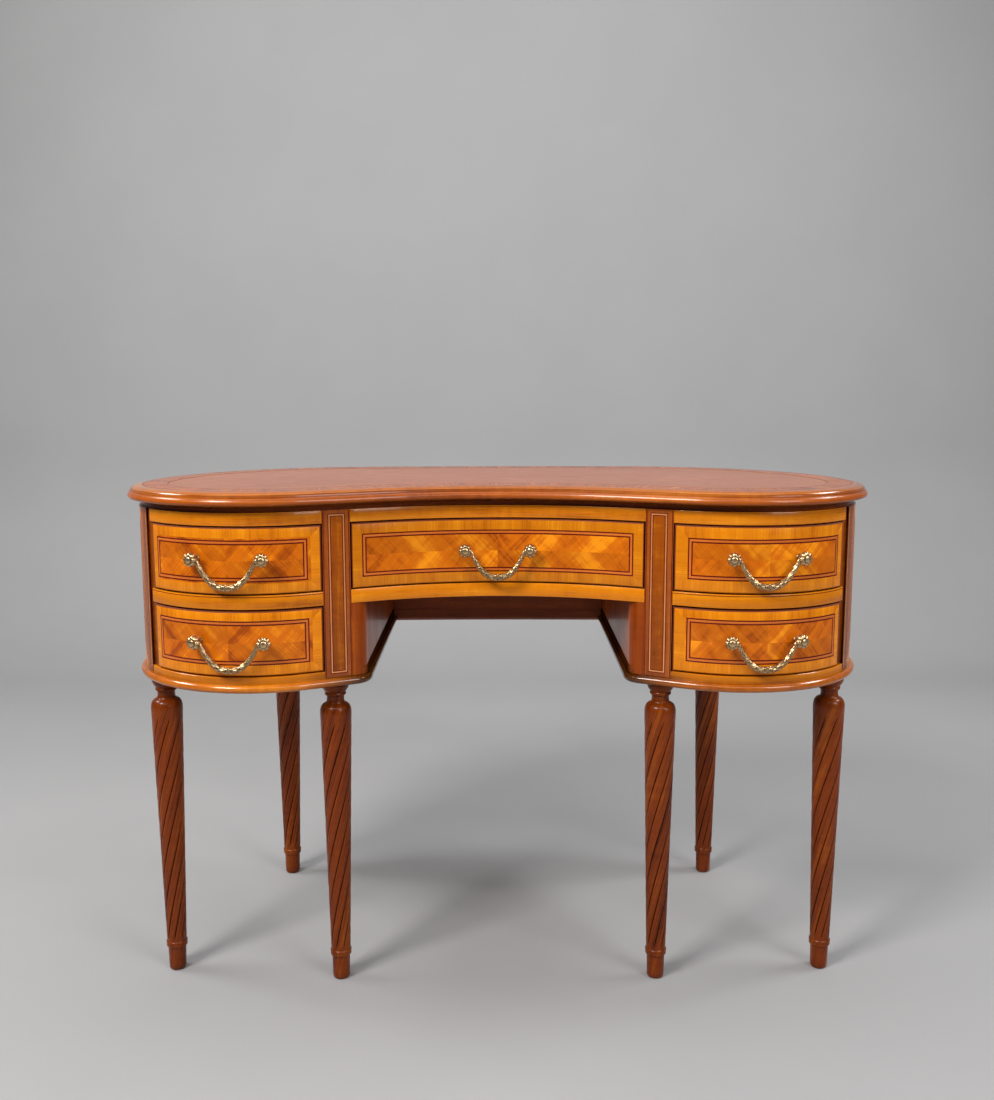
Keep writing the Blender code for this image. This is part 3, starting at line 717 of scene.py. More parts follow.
# Tones along the edge profile are painted light: painted shade in the undercut and the two quirks, and a painted
# highlight on the crest of the bead.
painted_light = np.interp([z for _, z in edge],
                 [0.0, 0.0030, 0.0038, 0.0056, 0.0080, 0.0125, 0.0142, 0.0148, 0.0158, 0.0175, 0.0183,
                  0.0190, 0.0200, 0.0235],
                 [0.40, 0.44, 0.72, 1.02, 1.08, 0.98, 0.84, 0.68, 0.98, 0.98, 0.50, 0.66, 0.80, 0.82])
edge = [(d, TOP_UNDER + z) for d, z in edge]
sh = Shape()
# The thumb moulding above the fillet takes the paler base_nose wood, a painted reflection along the upper edge of
# the top.
moulded(sh, full_outline, edge, [2 if z > TOP_UNDER + 0.0187 else 0 for _, z in edge[:-1]],
        list(painted_light), caps=False)
low = np.asarray(full_outline(edge[0][0]))
sh.face(np.column_stack([low, np.full(len(low), TOP_UNDER)]), low, 1, 0.8)
# crossbanded border, laid in short lengths round the top
outer, inner = (np.asarray(full_outline(d)) for d in (NOSE - 0.0215, LEATHER_INSET))
ring_n = len(outer)
s = arc_len(outer, True)
cuts, at = [0], 0.0
while cuts[-1] < ring_n:
    at += random.uniform(0.075, 0.125)
    cuts.append(min(max(int(np.searchsorted(s, at)), cuts[-1] + 2), ring_n))
for a, b in zip(cuts, cuts[1:]):
    ids = np.arange(a, b + 1) % ring_n
    po, pi = outer[ids], inner[ids]
    run = s[a:b + 1]
    shift = luck(20.0)
    uv = [np.stack([np.zeros_like(run), run], -1) + shift,
          np.stack([np.full_like(run, 0.0385), run], -1) + shift]
    sh.grid([np.column_stack([po, np.full(len(po), TOP_Z)]),
             np.column_stack([pi, np.full(len(pi), TOP_Z)])], uv, 0, 1.02 * tone_of(0.10))
pit = np.column_stack([inner, np.full(ring_n, TOP_Z - 0.0015)])
rows = [np.column_stack([inner, np.full(ring_n, TOP_Z)]), pit]
rows = [np.vstack([r, r[:1]]) for r in rows]
si = arc_len(inner, True)
sh.grid(rows, [np.stack([si, 0 * si], -1), np.stack([si, 0 * si + 0.0015], -1)], 0, 0.7)
sh.face(pit, inner, 0, 0.7)
sh.build("top", [EDGEW, INNER, NOSEW], "carcass", ["top_board"])


def top_line(name, d0, d1, mat, z, deep=0.0006, proud=0.00008):
    """A line let in all round the top, between two offsets."""
    one = Shape()
    rows = [np.column_stack([np.asarray(full_outline(d)), np.full(ring_n, h)])
            for d, h in ((d0, z - deep), (d0, z + proud), (d1, z + proud), (d1, z - deep))]
    rows = [np.vstack([r, r[:1]]) for r in rows]
    rows.append(rows[0])
    run = arc_len(rows[0][:-1, :2], True)
    one.grid(rows, [np.stack([run, np.full_like(run, 0.001 * k)], -1) for k in range(5)])
    return one.build(name, [mat], "carcass")


top_line("top_line_outer", -0.0060, -0.0074, LINE, TOP_Z)
top_line("top_line_inner", -0.0405, -0.0430, POSTW, TOP_Z)

sh = Shape()
skin = smooth_profile([(0.0, 0.0), (0.0, 0.0006), (-0.0006, 0.00112), (-0.0018, 0.0012)], 2)
moulded(sh, full_outline, [(LEATHER_INSET - GAP + d, TOP_Z - 0.0014 + z) for d, z in skin], 0)
sh.build("leather", [HIDE], "carcass", ["writing_leather"])
LEATHER_Z = TOP_Z - 0.0002
top_line("tooling_outer", -0.0560, -0.0568, GILT, LEATHER_Z, 0.0004, 0.00005)
top_line("tooling_inner", -0.0660, -0.0668, GILT, LEATHER_Z, 0.0004, 0.00005)

# ---------------------------------------------------------------- legs
FLUTES = 8
PITCH = 0.44


def leg_radius(z):
    pts = [(0.0, 0.0098), (0.0012, 0.0118), (0.0035, 0.0130), (0.0360, 0.0137), (0.0375, 0.0138),
           (0.0384, 0.0153), (0.0391, 0.0159), (0.0400, 0.0161), (0.0415, 0.0159), (0.0445, 0.0160),
           (0.0458, 0.0163), (0.0466, 0.0162), (0.0472, 0.0156), (0.0479, 0.0149), (0.0486, 0.0147),
           (0.0500, 0.0149)]
    zs, rs = [p[0] for p in pts], [p[1] for p in pts]
    if z <= 0.05:
        return float(np.interp(z, zs, rs))
    if z <= 0.4240:
        return 0.0149 + (0.0236 - 0.0149) * (z - 0.05) / (0.4240 - 0.05)
    pts = [(0.4240, 0.0236), (0.4272, 0.0235), (0.4305, 0.0230), (0.4335, 0.0220), (0.4358, 0.0206),
           (0.4375, 0.0188), (0.4388, 0.0166), (0.4396, 0.0147), (0.4410, 0.0137), (0.4430, 0.0131),
           (0.4460, 0.0129), (0.4490, 0.0130), (0.4505, 0.0134), (0.4512, 0.0148), (0.4525, 0.0158),
           (0.4540, 0.0160), (0.4553, 0.0156), (0.4562, 0.0151), (0.4580, 0.0163), (0.4600, 0.0178),
           (0.4625, 0.0193), (0.4650, 0.0201), (0.4658, 0.0206), (0.4690, 0.0206), (0.4697, 0.0202)]
    return float(np.interp(z, [p[0] for p in pts], [p[1] for p in pts]))


def leg_rows():
    z = [0.0, 0.0005, 0.0012, 0.0022, 0.0035, 0.012, 0.024, 0.0350, 0.0366, 0.0375, 0.0380, 0.0384,
         0.0391, 0.0400, 0.0415, 0.0430, 0.0445, 0.0458, 0.0466, 0.0472, 0.0479, 0.0486, 0.0500]
    z += list(np.linspace(0.0515, 0.0640, 9))
    z += list(np.linspace(0.0690, 0.3960, 68))
    z += list(np.linspace(0.3985, 0.4140, 10))
    z += [0.4175, 0.4210, 0.4240, 0.4256, 0.4272, 0.4289, 0.4305, 0.4320, 0.4335, 0.4347, 0.4358,
          0.4367, 0.4375, 0.4382, 0.4388, 0.4392, 0.4396, 0.4403, 0.4410, 0.4420, 0.4430, 0.4445,
          0.4460, 0.4475, 0.4490, 0.4498, 0.4505, 0.4508, 0.4512, 0.4518, 0.4525, 0.4532, 0.4540,
          0.4547, 0.4553, 0.4558, 0.4562, 0.4570, 0.4580, 0.4590, 0.4600, 0.4612, 0.4625, 0.4638,
          0.4650, 0.4654, 0.4658, 0.4674, 0.4690, 0.4694, 0.4697]
    return z


def fluted_leg(name, x, y, phase):
    half = math.pi / FLUTES
    cols = [0.0, 0.03, 0.06, 0.085, 0.105, 0.125, 0.16, 0.24, 0.36, 0.50, 0.66, 0.83]
    local = [-c for c in reversed(cols[1:])] + cols + [1.0]
    fr = np.array(sorted(local))
    pts, uv, tone = [], [], []
    shift = luck(20.0)
    for z in leg_rows():
        r = leg_radius(z)
        # flutes fade out to a point at either end
        run = min((z - 0.0530) / 0.010, (0.4125 - z) / 0.014)
        open_ = max(0.0, min(1.0, run))
        open_ = math.sqrt(open_) if open_ > 0 else 0.0
        # Painted shade: the leg is darker towards the floor and in the neck under the capital.
        painted_light = float(np.interp(z, [0.0, 0.20, 0.42, 0.4390, 0.4470, 0.4640], [0.80, 0.86, 0.96, 0.70, 0.72, 0.85]))
        row, urow, trow = [], [], []
        for k in range(FLUTES):
            for t in fr:
                a = half * (2 * k + t) + 2 * math.pi * z / PITCH + phase
                groove = 0.105 * (0.0195 / r) * (0.35 + 0.65 * open_)
                g = max(0.0, 1.0 - (abs(t) / groove) ** 2)
                dip = 0.0021 * math.sqrt(g) * open_
                dome = 0.0007 * open_ * max(0.0, abs(abs(t) - 0.56) / 0.44) ** 2 if g == 0 else 0.0007 * open_
                rr = r - dip - dome
                row.append((x + rr * math.cos(a), y + rr * math.sin(a), z))
                urow.append((z + shift, half * (2 * k + t) * 0.02 + shift))
                # Painted shade in the bottoms of the flutes.
                trow.append(painted_light * (1.0 - 0.72 * min(1.0, dip / 0.0015)))
        row.append(row[0])
        urow.append((z + shift, 2 * math.pi * 0.02 + shift))
        trow.append(trow[0])
        pts.append(row)
        uv.append(urow)
        tone.append(trow)
    sh = Shape()
    sh.grid(pts, uv, 0, tone)
    for ring in (pts[0], pts[-1]):
        ring = np.asarray(ring[:-1])
        sh.face(ring, ring[:, :2], 0, 0.8)
    sh.build("turned_" + name, [MAHOG], "carcass", [name], sharp=40.0)


for leg_name, (lx, ly) in LEGS.items():
    for side, sign in SIDES:
        fluted_leg(f"{leg_name}_{side}", sign * lx, ly, luck(math.pi))

# set-back neck between the carcass and the top, in dark mahogany that partly stands for painted shade under the
# overhang of the top
sh = Shape()
rows = [np.column_stack([np.asarray(full_outline(d)), np.full(ring_n, h)])
        for d, h in ((-0.0045, NECK - 0.0030), (-0.0045, UNDER), (-0.0150, UNDER), (-0.0150, NECK - 0.0030))]
rows = [np.vstack([q, q[:1]]) for q in rows]
rows.append(rows[0])
run = arc_len(rows[0][:-1, :2], True)
sh.grid(rows, [np.stack([run, np.full_like(run, 0.004 * k)], -1) for k in range(5)], 0, 0.95)
sh.build("neck", [MAHOG], "carcass")

# ---------------------------------------------------------------- bases
nose = [(0.0, BASE_LOW)]
nose += [(0.0010 + (BASE_NOSE - 0.0010) * math.sin(t), BASE_LOW + 0.0062 - 0.0062 * math.cos(t))
         for t in steps(0.12, math.pi - 0.12, 12)]
nose += [(0.0010, BASE_STEP - 0.0001), (-0.0007, BASE_STEP + 0.0004), (-0.0007, BASE_HIGH - 0.0007),
         (-0.0014, BASE_HIGH)]
numbers = [0] * 14 + [1] * (len(nose) - 15)
# Painted shade by profile row: darker under the nose, in the step above it, and a little on the band below the
# drawers.
painted_shade_rows = [0.6] + [1.0] * 12 + [0.75, 0.42, 0.62] + [0.80] * (len(nose) - 16)
for side, sign in SIDES:
    sh = Shape()
    count = len(pedestal_plan(0.0))
    dull = np.ones(count)                       # painted shade: darker along the kneehole side and round its corner
    dull[:60] = np.interp([x for x, _ in pedestal_plan(0.0)[:60]],
                          [KNEE_X, 0.206, 0.2165, 0.245, 0.262], [0.14, 0.16, 0.24, 0.52, 1.0])
    dull[-3:] = 0.14
    if sign < 0:
        dull = dull[::-1]
    moulded(sh, side_plan(pedestal_plan, sign), nose, numbers, painted_shade_rows, across=np.append(dull, dull[0]), under=2)
    sh.build(f"base_{side}", [NOSEW, BAND, PINE], "carcass", [f"base_board_{side}"])

# base moulding between the pedestals, its ends against theirs, its lower inner edge cut away
sh = Shape()
ends = [KNEE_X - d - 2 * GAP for d, _ in nose]
cut = np.interp([z - BASE_LOW for _, z in nose], [0.0, 0.0028, 0.0066, 0.0072], [-0.0080, -0.0150, -0.0216, -0.0220])
faces = [[np.array([(*rear_point(x, o), z) for x in steps(w, -w, 24)]) for o, (_, z), w in zip(offs, nose, ends)]
         for offs in ([d for d, _ in nose], cut)]
long = [np.linspace(w, -w, 25) for w in ends]
# The cut-away inner faces and the ends take bare mahogany at 0.6, painted shade inside the kneehole.
for k in range(len(nose) - 1):
    for rows, number, shade in ((faces[0], numbers[k], 1.0), (faces[1], 2, 0.6)):
        sh.grid(rows[k:k + 2], [np.stack([long[q], np.full(25, nose[q][1])], -1) for q in (k, k + 1)], number, shade)
    for end in (0, -1):
        sh.grid([[f[q][end] for q in (k, k + 1)] for f in faces],
                [[(o, nose[q][1]) for q in (k, k + 1)] for o in (0.0, 0.022)], 2, 0.6)
for q in (0, -1):
    sh.grid([f[q] for f in faces], [np.stack([long[q], np.full(25, o)], -1) for o in (0.0, 0.022)], 2, 0.6)
sh.build("plinth_back", [NOSEW, BAND, INNER], "carcass", ["back_plinth"])

# ---------------------------------------------------------------- posts
DARK_LINE, PALE_LINE = 0, 1
for side, sign in SIDES:
    a, b = (STILE_IN, STILE_OUT) if sign > 0 else (-STILE_OUT, -STILE_IN)
    pts = [(x, front_y(x)) for x in steps(a, b, 4)] + [(b, POST_BACK), (a, POST_BACK)]
    sh = Shape()
    # Painted light: the stile is darker at its foot and brighter near the top.
    prism(sh, pts, FOOT, NECK, soft=0.0006, upright=True, tone=(0.80, 1.10))
    sh.build(f"stile_{side}", [STILEW], "carcass", [f"inner_post_{side}"])
    f = Front(a, b, FOOT)
    high = NECK - FOOT
    lines = sorted((f.u(sign * 0.2248), f.u(sign * 0.2442)))
    sh = Shape()
    u0, u1 = lines[0] - 0.0023, lines[1] + 0.0023
    v0, v1 = 0.0058, high - 0.0052
    at = 0.0
    for width, number in ((0.0013, DARK_LINE), (0.0020, PALE_LINE), (0.0013, DARK_LINE)):
        inlay_loop(sh, f, u0 + at, u1 - at, v0 + at, v1 - at, width, number, 6, 2)
        at += width
    for at_edge in (0.0007, f.width - 0.0021):
        inlay_plate(sh, f, at_edge, at_edge + 0.0014, 0.0010, high - 0.0010, DARK_LINE, 2, 2)
    sh.build(f"stile_lines_{side}", [LINE, PINK], "carcass")
    sh = Shape()
    # Painted light: the strip is darker at its foot and brighter near the top.
    inlay_plate(sh, f, u0 + at, u1 - at, v0 + at, v1 - at, 0, 6, 2,
                tone=np.array([[0.80], [0.95], [1.10]]))
    sh.build(f"stile_strip_{side}", [STRIP], "carcass")

    # outer post: a set-back fillet beside the drawers, then the bowed face
    first = math.asin((0.5213 - LOBE_CX) / LOBE_R)
    deep = (POST_IN - LOBE_CX) / math.sin(POST_ARC) - LOBE_R
    arc = [lobe_point(t) for t in steps(first, POST_ARC, 8)]
    back = lobe_point(POST_ARC, deep)
    pts = [(POST_IN, front_y(POST_IN) + 0.0060), (0.5210, front_y(0.5210) + 0.0060)] + arc + [back]
    sh = Shape()
    # Painted shade: the corner post is darkened, more at its foot.
    prism(sh, pts if sign > 0 else flipped(pts), FOOT, NECK, soft=0.0005, upright=True, tone=(0.60, 0.78))
    sh.build(f"corner_post_{side}", [EDGEW], "carcass", [f"outer_post_{side}"])
    f = Wall(lambda d: [lobe_point(t, d) for t in steps(first, POST_ARC, 24)], None, FOOT)
    if sign < 0:
        g = f
        f = lambda u, v, d, g=g: g(u, v, d) * np.array([-1.0, 1.0, 1.0])
        f.width = g.width
    w = (f.width)
    sh = Shape()
    for mid in (0.0038, w - 0.0038):
        inlay_loop(sh, f, mid - 0.0020, mid + 0.0020, 0.0060, high - 0.0060, 0.0009, DARK_LINE, 2, 2)
        inlay_plate(sh, f, mid - 0.0011, mid + 0.0011, 0.0069, high - 0.0069, PALE_LINE, 2, 2)
    sh.build(f"corner_lines_{side}", [LINE, PINK], "carcass")

# ---------------------------------------------------------------- rails
EASY = [(0.0, -RAIL_T), (0.0, -0.0009), (0.0003, -0.0003), (0.0009, 0.0)]
SHADED = np.array([[0.95], [0.90], [0.62]])     # darker up under the top


def rail(name, x0, x1, z0, z1, node, mat=BAND, n=56, tone=0.93):
    f = Front(x0, x1, z0)
    sh = Shape()
    panel(sh, f, z1 - z0, EASY, n, 2, plain(0, tone=tone), [(0, "along")] * 3)
    sh.build(name, [mat], "carcass", [node])
    return f


def rail_line(name, x0, x1, z0, z1, mat, n=56):
    f = Front(x0, x1, z0)
    sh = Shape()
    inlay_plate(sh, f, 0.0004, f.width - 0.0004, 0.0, z1 - z0, 0, n, 1, upright=False)
    sh.build(name, [mat], "carcass")


for side, sign in SIDES:
    a, b = STILE_OUT + GAP, POST_IN - GAP
    lap = 0.5140
    a2, b2 = (a, lap) if sign > 0 else (-lap, -a)
    rail(f"rail_top_{side}", a2, b2, RAIL_LOW, NECK, f"top_rail_{side}", tone=SHADED)
    # front rail and dust board between the drawers
    f = Front(a2, b2, MID_LOW)
    sh = Shape()
    # The mid rail is dimmed to 0.84, painted shade under the drawer above.
    panel(sh, f, MID_HIGH - MID_LOW, EASY, 56, 2, plain(0, tone=0.84), [(0, "along")] * 3)
    pts = [(x, front_y(x, -RAIL_T) + 0.0002) for x in steps(a, b, 24)]
    pts += [(b, 0.050), (0.470, 0.108), (a, 0.108)]
    prism(sh, pts if sign > 0 else flipped(pts), MID_LOW, MID_HIGH, 1, upright=True)
    sh.build(f"rail_mid_{side}", [BAND, PINE], "carcass", [f"mid_board_{side}"])
    rail_line(f"rail_mid_line_{side}", a2, b2, MID_HIGH - 0.0030, MID_HIGH - 0.0020, LINE)

    r0, r1 = KNEE_X - 0.022, KNEE_X - GAP
    pts = [(r0, -0.150), (r1, -0.150), (r1, 0.250), (r0, 0.250)]
    sh = Shape()
    prism(sh, pts if sign > 0 else flipped(pts), MID_LOW + 0.001, MID_HIGH, upright=True)
    sh.build(f"runner_{side}", [OAK], "carcass", [f"center_runner_{side}"])

x1 = STILE_IN - GAP
rail("rail_top_center", -x1, x1, RAIL_LOW, NECK, "top_rail_center", tone=SHADED)
# The centre rail keeps the default tone of 0.93 from rail, a light painted shade under the drawer above.
rail("rail_center", -x1, x1, MID_LOW, MID_HIGH, "center_rail")

# ---------------------------------------------------------------- panels
FRAME_RINGS = [(0.0, -PANEL_T), (0.0, -0.0008), (0.0002, -0.0002), (0.0008, 0.0), (0.0260, 0.0)]
for side, sign in SIDES:
    lobe0 = POST_ARC + GAP / LOBE_R

    def line(d, lobe0=lobe0):
        pts = [lobe_point(t, d) for t in steps(lobe0, math.pi / 2, 12)]
        return pts + [end_point(t, d) for t in steps(0.0, END_TURN, 72)[1:]]

    g = Wall(line, None, STAND)
    f = g if sign > 0 else (lambda u, v, d, g=g: g(u, v, d) * np.array([-1.0, 1.0, 1.0]))
    f.width = g.width
    high = NECK - STAND
    sh = Shape()
    panel(sh, f, high, FRAME_RINGS, 84, 4, quartered(0, 62.0, (1.0, 0.94, 0.96, 1.02)),
          [(1, "along")] * 3 + [(1, "cross")], 2, 3)
    sh.build(f"end_{side}", [SATIN, BAND, PINE, EDGEW], "carcass", [f"outer_panel_{side}"])
    sh = Shape()
    for o, w, number in ((0.0260, 0.0012, 0), (0.0272, 0.0036, 1), (0.0308, 0.0012, 0)):
        inlay_loop(sh, f, o, g.width - o, o, high - o, w, number, 84, 2)
    sh.build(f"end_lines_{side}", [LINE, PINK], "carcass")

    # kneehole side: rounded nose below, plain wall above
    plan = pedestal_plan(0.0)
    x_end = STILE_IN - GAP
    round_ = [p for p in plan[:17] if p[0] < x_end - 0.0004]
    round_.append((x_end, front_y(x_end) + 0.0006))
    wall_in = KNEE_X + PANEL_T
    back_y = rear_point(wall_in, -PANEL_T)[1] - 0.0010
    low = [(KNEE_X, back_y)] + round_ + [(x_end, POST_BACK + GAP), (wall_in, POST_BACK + 0.012),
                                         (wall_in, back_y)]
    up = [(KNEE_X, back_y), (KNEE_X, POST_BACK + 2 * GAP), (x_end, POST_BACK + 2 * GAP),
          (wall_in, POST_BACK + 0.012), (wall_in, back_y)]
    sh = Shape()
    prism(sh, low if sign > 0 else flipped(low), FOOT, MID_LOW - GAP, soft=0.0004, upright=True)
    prism(sh, up if sign > 0 else flipped(up), MID_LOW - GAP + 0.0001, UNDER, soft=0.0004, upright=True)
    sh.build(f"knee_{side}", [KNEEW], "carcass", [f"inner_panel_{side}"])
    # painted shade: a near-black fillet along the foot of the kneehole side, paler where it runs out onto the
    # rounded corner
    rear = rear_point(KNEE_X, -0.0220)[1] - 0.0006
    out, wall = [pedestal_plan(d)[:11] for d in (0.0016, 0.00005)]
    fade_out = [ease(1.0 - k / 10) for k in range(11)]
    run_out = [(w[0] + (o[0] - w[0]) * t, w[1] + (o[1] - w[1]) * t) for o, w, t in zip(out, wall, fade_out)]
    pts = [(KNEE_X - 0.0016, rear)] + run_out[:-1] + wall[::-1] + [(KNEE_X - 0.00005, rear)]
    sh = Shape()
    pale = [1.0 + 5.0 * ease(k / 9) for k in range(11)]
    pale = np.array([1.0] + pale[:-1] + pale[::-1] + [1.0])
    prism(sh, pts if sign > 0 else flipped(pts), FOOT, FOOT + 0.0115, soft=0.0004,
          tone=pale if sign > 0 else pale[::-1])
    sh.build(f"knee_fillet_{side}", [SHADE_FILLET_WOOD], "carcass")

# lining of the back inside the kneehole, flush with the base moulding below it
w = KNEE_X - 2 * GAP
pts = [rear_point(x, -PANEL_T - GAP) for x in steps(w, -w, 32)] + [rear_point(x, -0.0220) for x in steps(-w, w, 32)]
sh = Shape()
# Tone 0.75 darkens the lining, painted shade inside the kneehole.
prism(sh, pts, BASE_HIGH + GAP / 2, MID_LOW, soft=0.0003, tone=0.75)
sh.build("knee_back", [INNER], "carcass")

meet = rear_meet() - 0.0006
g = Wall(lambda d: [rear_point(x * (1 + 0 * d), d) for x in steps(meet, -meet, 60)], None, STAND)
high = NECK - STAND
sh = Shape()
panel(sh, g, high, FRAME_RINGS, 60, 4, quartered(0, 58.0, (1.0, 0.95, 0.97, 1.03)),
      [(1, "along")] * 3 + [(1, "cross")], 2)
sh.build("back", [SATIN, BAND, INNER], "carcass", ["back_panel"])
sh = Shape()
for o, w, number in ((0.0260, 0.0012, 0), (0.0272, 0.0036, 1), (0.0308, 0.0012, 0)):
    inlay_loop(sh, g, o, g.width - o, o, high - o, w, number, 60, 2)
sh.build("back_lines", [LINE, PINK], "carcass")

# ---------------------------------------------------------------- handles


def surface(x):
    p, q = flank(0.0)
    ax = abs(x)
    sign = 1.0 if x >= 0 else -1.0
    if ax <= p.x:
        n = Vector((-ax, HOLLOW_CY - front_y(ax))).normalized()
    elif ax <= q.x:
        s_ = (q - p).normalized()
        n = Vector((s_.y, -s_.x))
    else:
        n = Vector((ax - LOBE_CX, front_y(ax) - LOBE_CY)).normalized()
    return Vector((x, front_y(ax))), Vector((sign * n.x, n.y))


def rosette(sh, m):
    """Back plate, stem and a flower of bead petals round a domed eye."""
    n = 72
    rows, tones = [], []
    # plate and stem, from the drawer outwards; their low tones are painted shade behind the flower
    prof = [(0.0, 0.0002, 0.1), (0.0054, 0.0002, 0.1), (0.0058, 0.0008, 0.3), (0.0055, 0.0015, 0.3),
            (0.0048, 0.0022, 0.15), (0.0042, 0.0036, 0.1), (0.0040, 0.0060, 0.06), (0.0044, 0.0080, 0.05)]
    for r, h, t in prof:
        rows.append([(max(r, 1e-5) * math.cos(a), max(r, 1e-5) * math.sin(a), h)
                     for a in np.linspace(0, 2 * math.pi, n + 1)])
        tones.append([t] * (n + 1))
    # flower: polar angle from the back to the front
    c, petals = 0.0148, 8
    for i in range(1, 33):
        phi = math.pi * (1.0 - i / 33.0)
        row, trow = [], []
        for a in np.linspace(0, 2 * math.pi, n + 1):
            lobe = abs(math.cos(a * petals / 2))
            side = ease((phi - 0.62) / 0.25) * (1.0 - ease((phi - 2.2) / 0.5))
            eye = 1.0 - ease((phi - 0.42) / 0.12)
            ditch = math.exp(-((phi - 0.60) / 0.085) ** 2)
            r = 0.0101 * (1.0 + side * (0.22 * lobe ** 0.6 - 0.13) - 0.17 * ditch + 0.02 * eye)
            row.append((r * math.sin(phi) * math.cos(a), r * math.sin(phi) * math.sin(a),
                        c + 0.74 * r * math.cos(phi)))
            trow.append(max(0.05, 1.0 - 0.9 * ditch - side * 0.95 * (1.0 - lobe ** 0.5)))
        rows.append(row)
        tones.append(trow)
    tip = c + 0.74 * 0.0101 * 1.02
    rows.append([(1e-5 * math.cos(a), 1e-5 * math.sin(a), tip) for a in np.linspace(0, 2 * math.pi, n + 1)])
    tones.append([1.0] * (n + 1))
    pts = np.asarray(rows)
    world = np.asarray(m.to_3x3())
    out = pts @ world.T + np.asarray(m.translation)
    sh.grid(out, np.zeros(pts.shape[:2] + (2,)), 0, tones)


def garland(sh, half, swing):
    """The bail: plain pins and arms, a leafy garland that swells to its middle."""
    reach = half - 0.0108
    path = [(-half - 0.0010, 0.0), (-half + 0.0060, 0.0), (-half + 0.0088, -0.0006),
            (-half + 0.0102, -0.0030)]
    for u in np.linspace(-reach, reach, 61):
        path.append((u, -BAIL_DROP + (BAIL_DROP - 0.0060) * abs(u / reach) ** 2.5))
    path += [(half - 0.0102, -0.0030), (half - 0.0088, -0.0006), (half - 0.0060, 0.0),
             (half + 0.0010, 0.0)]
    dense = np.asarray(smooth_profile(path, 6))
    keep = arc_len(dense)
    total = keep[-1]
    s_new = np.linspace(0.0, total, 300)
    px, pz = np.interp(s_new, keep, dense[:, 0]), np.interp(s_new, keep, dense[:, 1])
    tx, tz = np.gradient(px, s_new), np.gradient(pz, s_new)
    k = np.hypot(tx, tz)
    tx, tz = tx / k, tz / k
    n = 40
    angles = np.linspace(0, 2 * math.pi, n + 1)
    rows, tones, uvs = [], [], []
    for i, s_ in enumerate(s_new):
        e = abs(s_ - total / 2)                        # along the bail from its middle
        span = total / 2
        base = 0.0020 + 0.0010 * ease((span - 0.0075 - e) / 0.008)
        base += 0.0015 * ease((span - 0.0120 - e) / (span - 0.0180))
        leafy = ease((span - 0.0135 - e) / 0.008)
        row, trow = [], []
        for a in angles:
            # overlapping leaves whose tips point towards the middle
            wave = 0.30 * math.cos(4 * a + (math.pi if int(e / 0.0068) % 2 else 0.0))
            at = e / 0.0068 + wave
            saw = at % 1.0
            vein = abs(math.sin(2 * a + (math.pi / 2 if int(math.floor(at)) % 2 else 0.0)))
            lift = (1.0 - saw) ** 0.9
            r = base * (1.0 + leafy * (0.24 * lift - 0.12 + 0.07 * vein))
            nx, nz = -tz[i], tx[i]
            row.append((px[i] + nx * r * math.cos(a), r * math.sin(a), pz[i] + nz * r * math.cos(a)))
            trow.append(0.85 - leafy * (0.80 * (1.0 - lift) ** 3 + 0.30 * (1.0 - vein) ** 2))
        rows.append(row)
        tones.append(trow)
        uvs.append([(s_, a * 0.004) for a in angles])
    pts = np.asarray(rows)
    world = np.asarray(swing.to_3x3())
    out = pts @ world.T + np.asarray(swing.translation)
    sh.grid(out, uvs, 0, np.clip(tones, 0.03, 1.0))
    for ring in (out[0], out[-1]):
        sh.face(ring[:-1], np.zeros((n, 2)), 0, 0.5)


def handle(tag, body, x_mid, z, spread):
    _, n_mid = surface(x_mid)
    t_mid = Vector((-n_mid.y, n_mid.x))
    if t_mid.x < 0:
        t_mid = -t_mid
    eyes = []
    for side, off in (("left", -spread), ("right", spread)):
        s_, n = surface(x_mid + off * t_mid.x)
        eyes.append(s_ + n * POST_REACH)
        t = Vector((-n.y, n.x))
        m = Matrix(((t.x, 0.0, n.x, s_.x), (t.y, 0.0, n.y, s_.y), (0.0, 1.0, 0.0, z), (0, 0, 0, 1)))
        sh = Shape()
        rosette(sh, m)
        sh.build(f"rosette_{tag}_{side}", [BRASS], body, [f"{tag}_post_{side}"], sharp=50.0)
    mid = (eyes[0] + eyes[1]) / 2
    along = eyes[1] - eyes[0]
    half = along.length / 2
    turn = math.atan2(along.y, along.x)
    swing = Matrix.Translation((mid.x, mid.y, z)) @ Matrix.Rotation(turn, 4, "Z")
    sh = Shape()
    garland(sh, half, swing)
    sh.build(f"bail_{tag}", [BRASS], body.replace("drawer", "handle"), [f"{tag}_bail"],
             sharp=60.0)


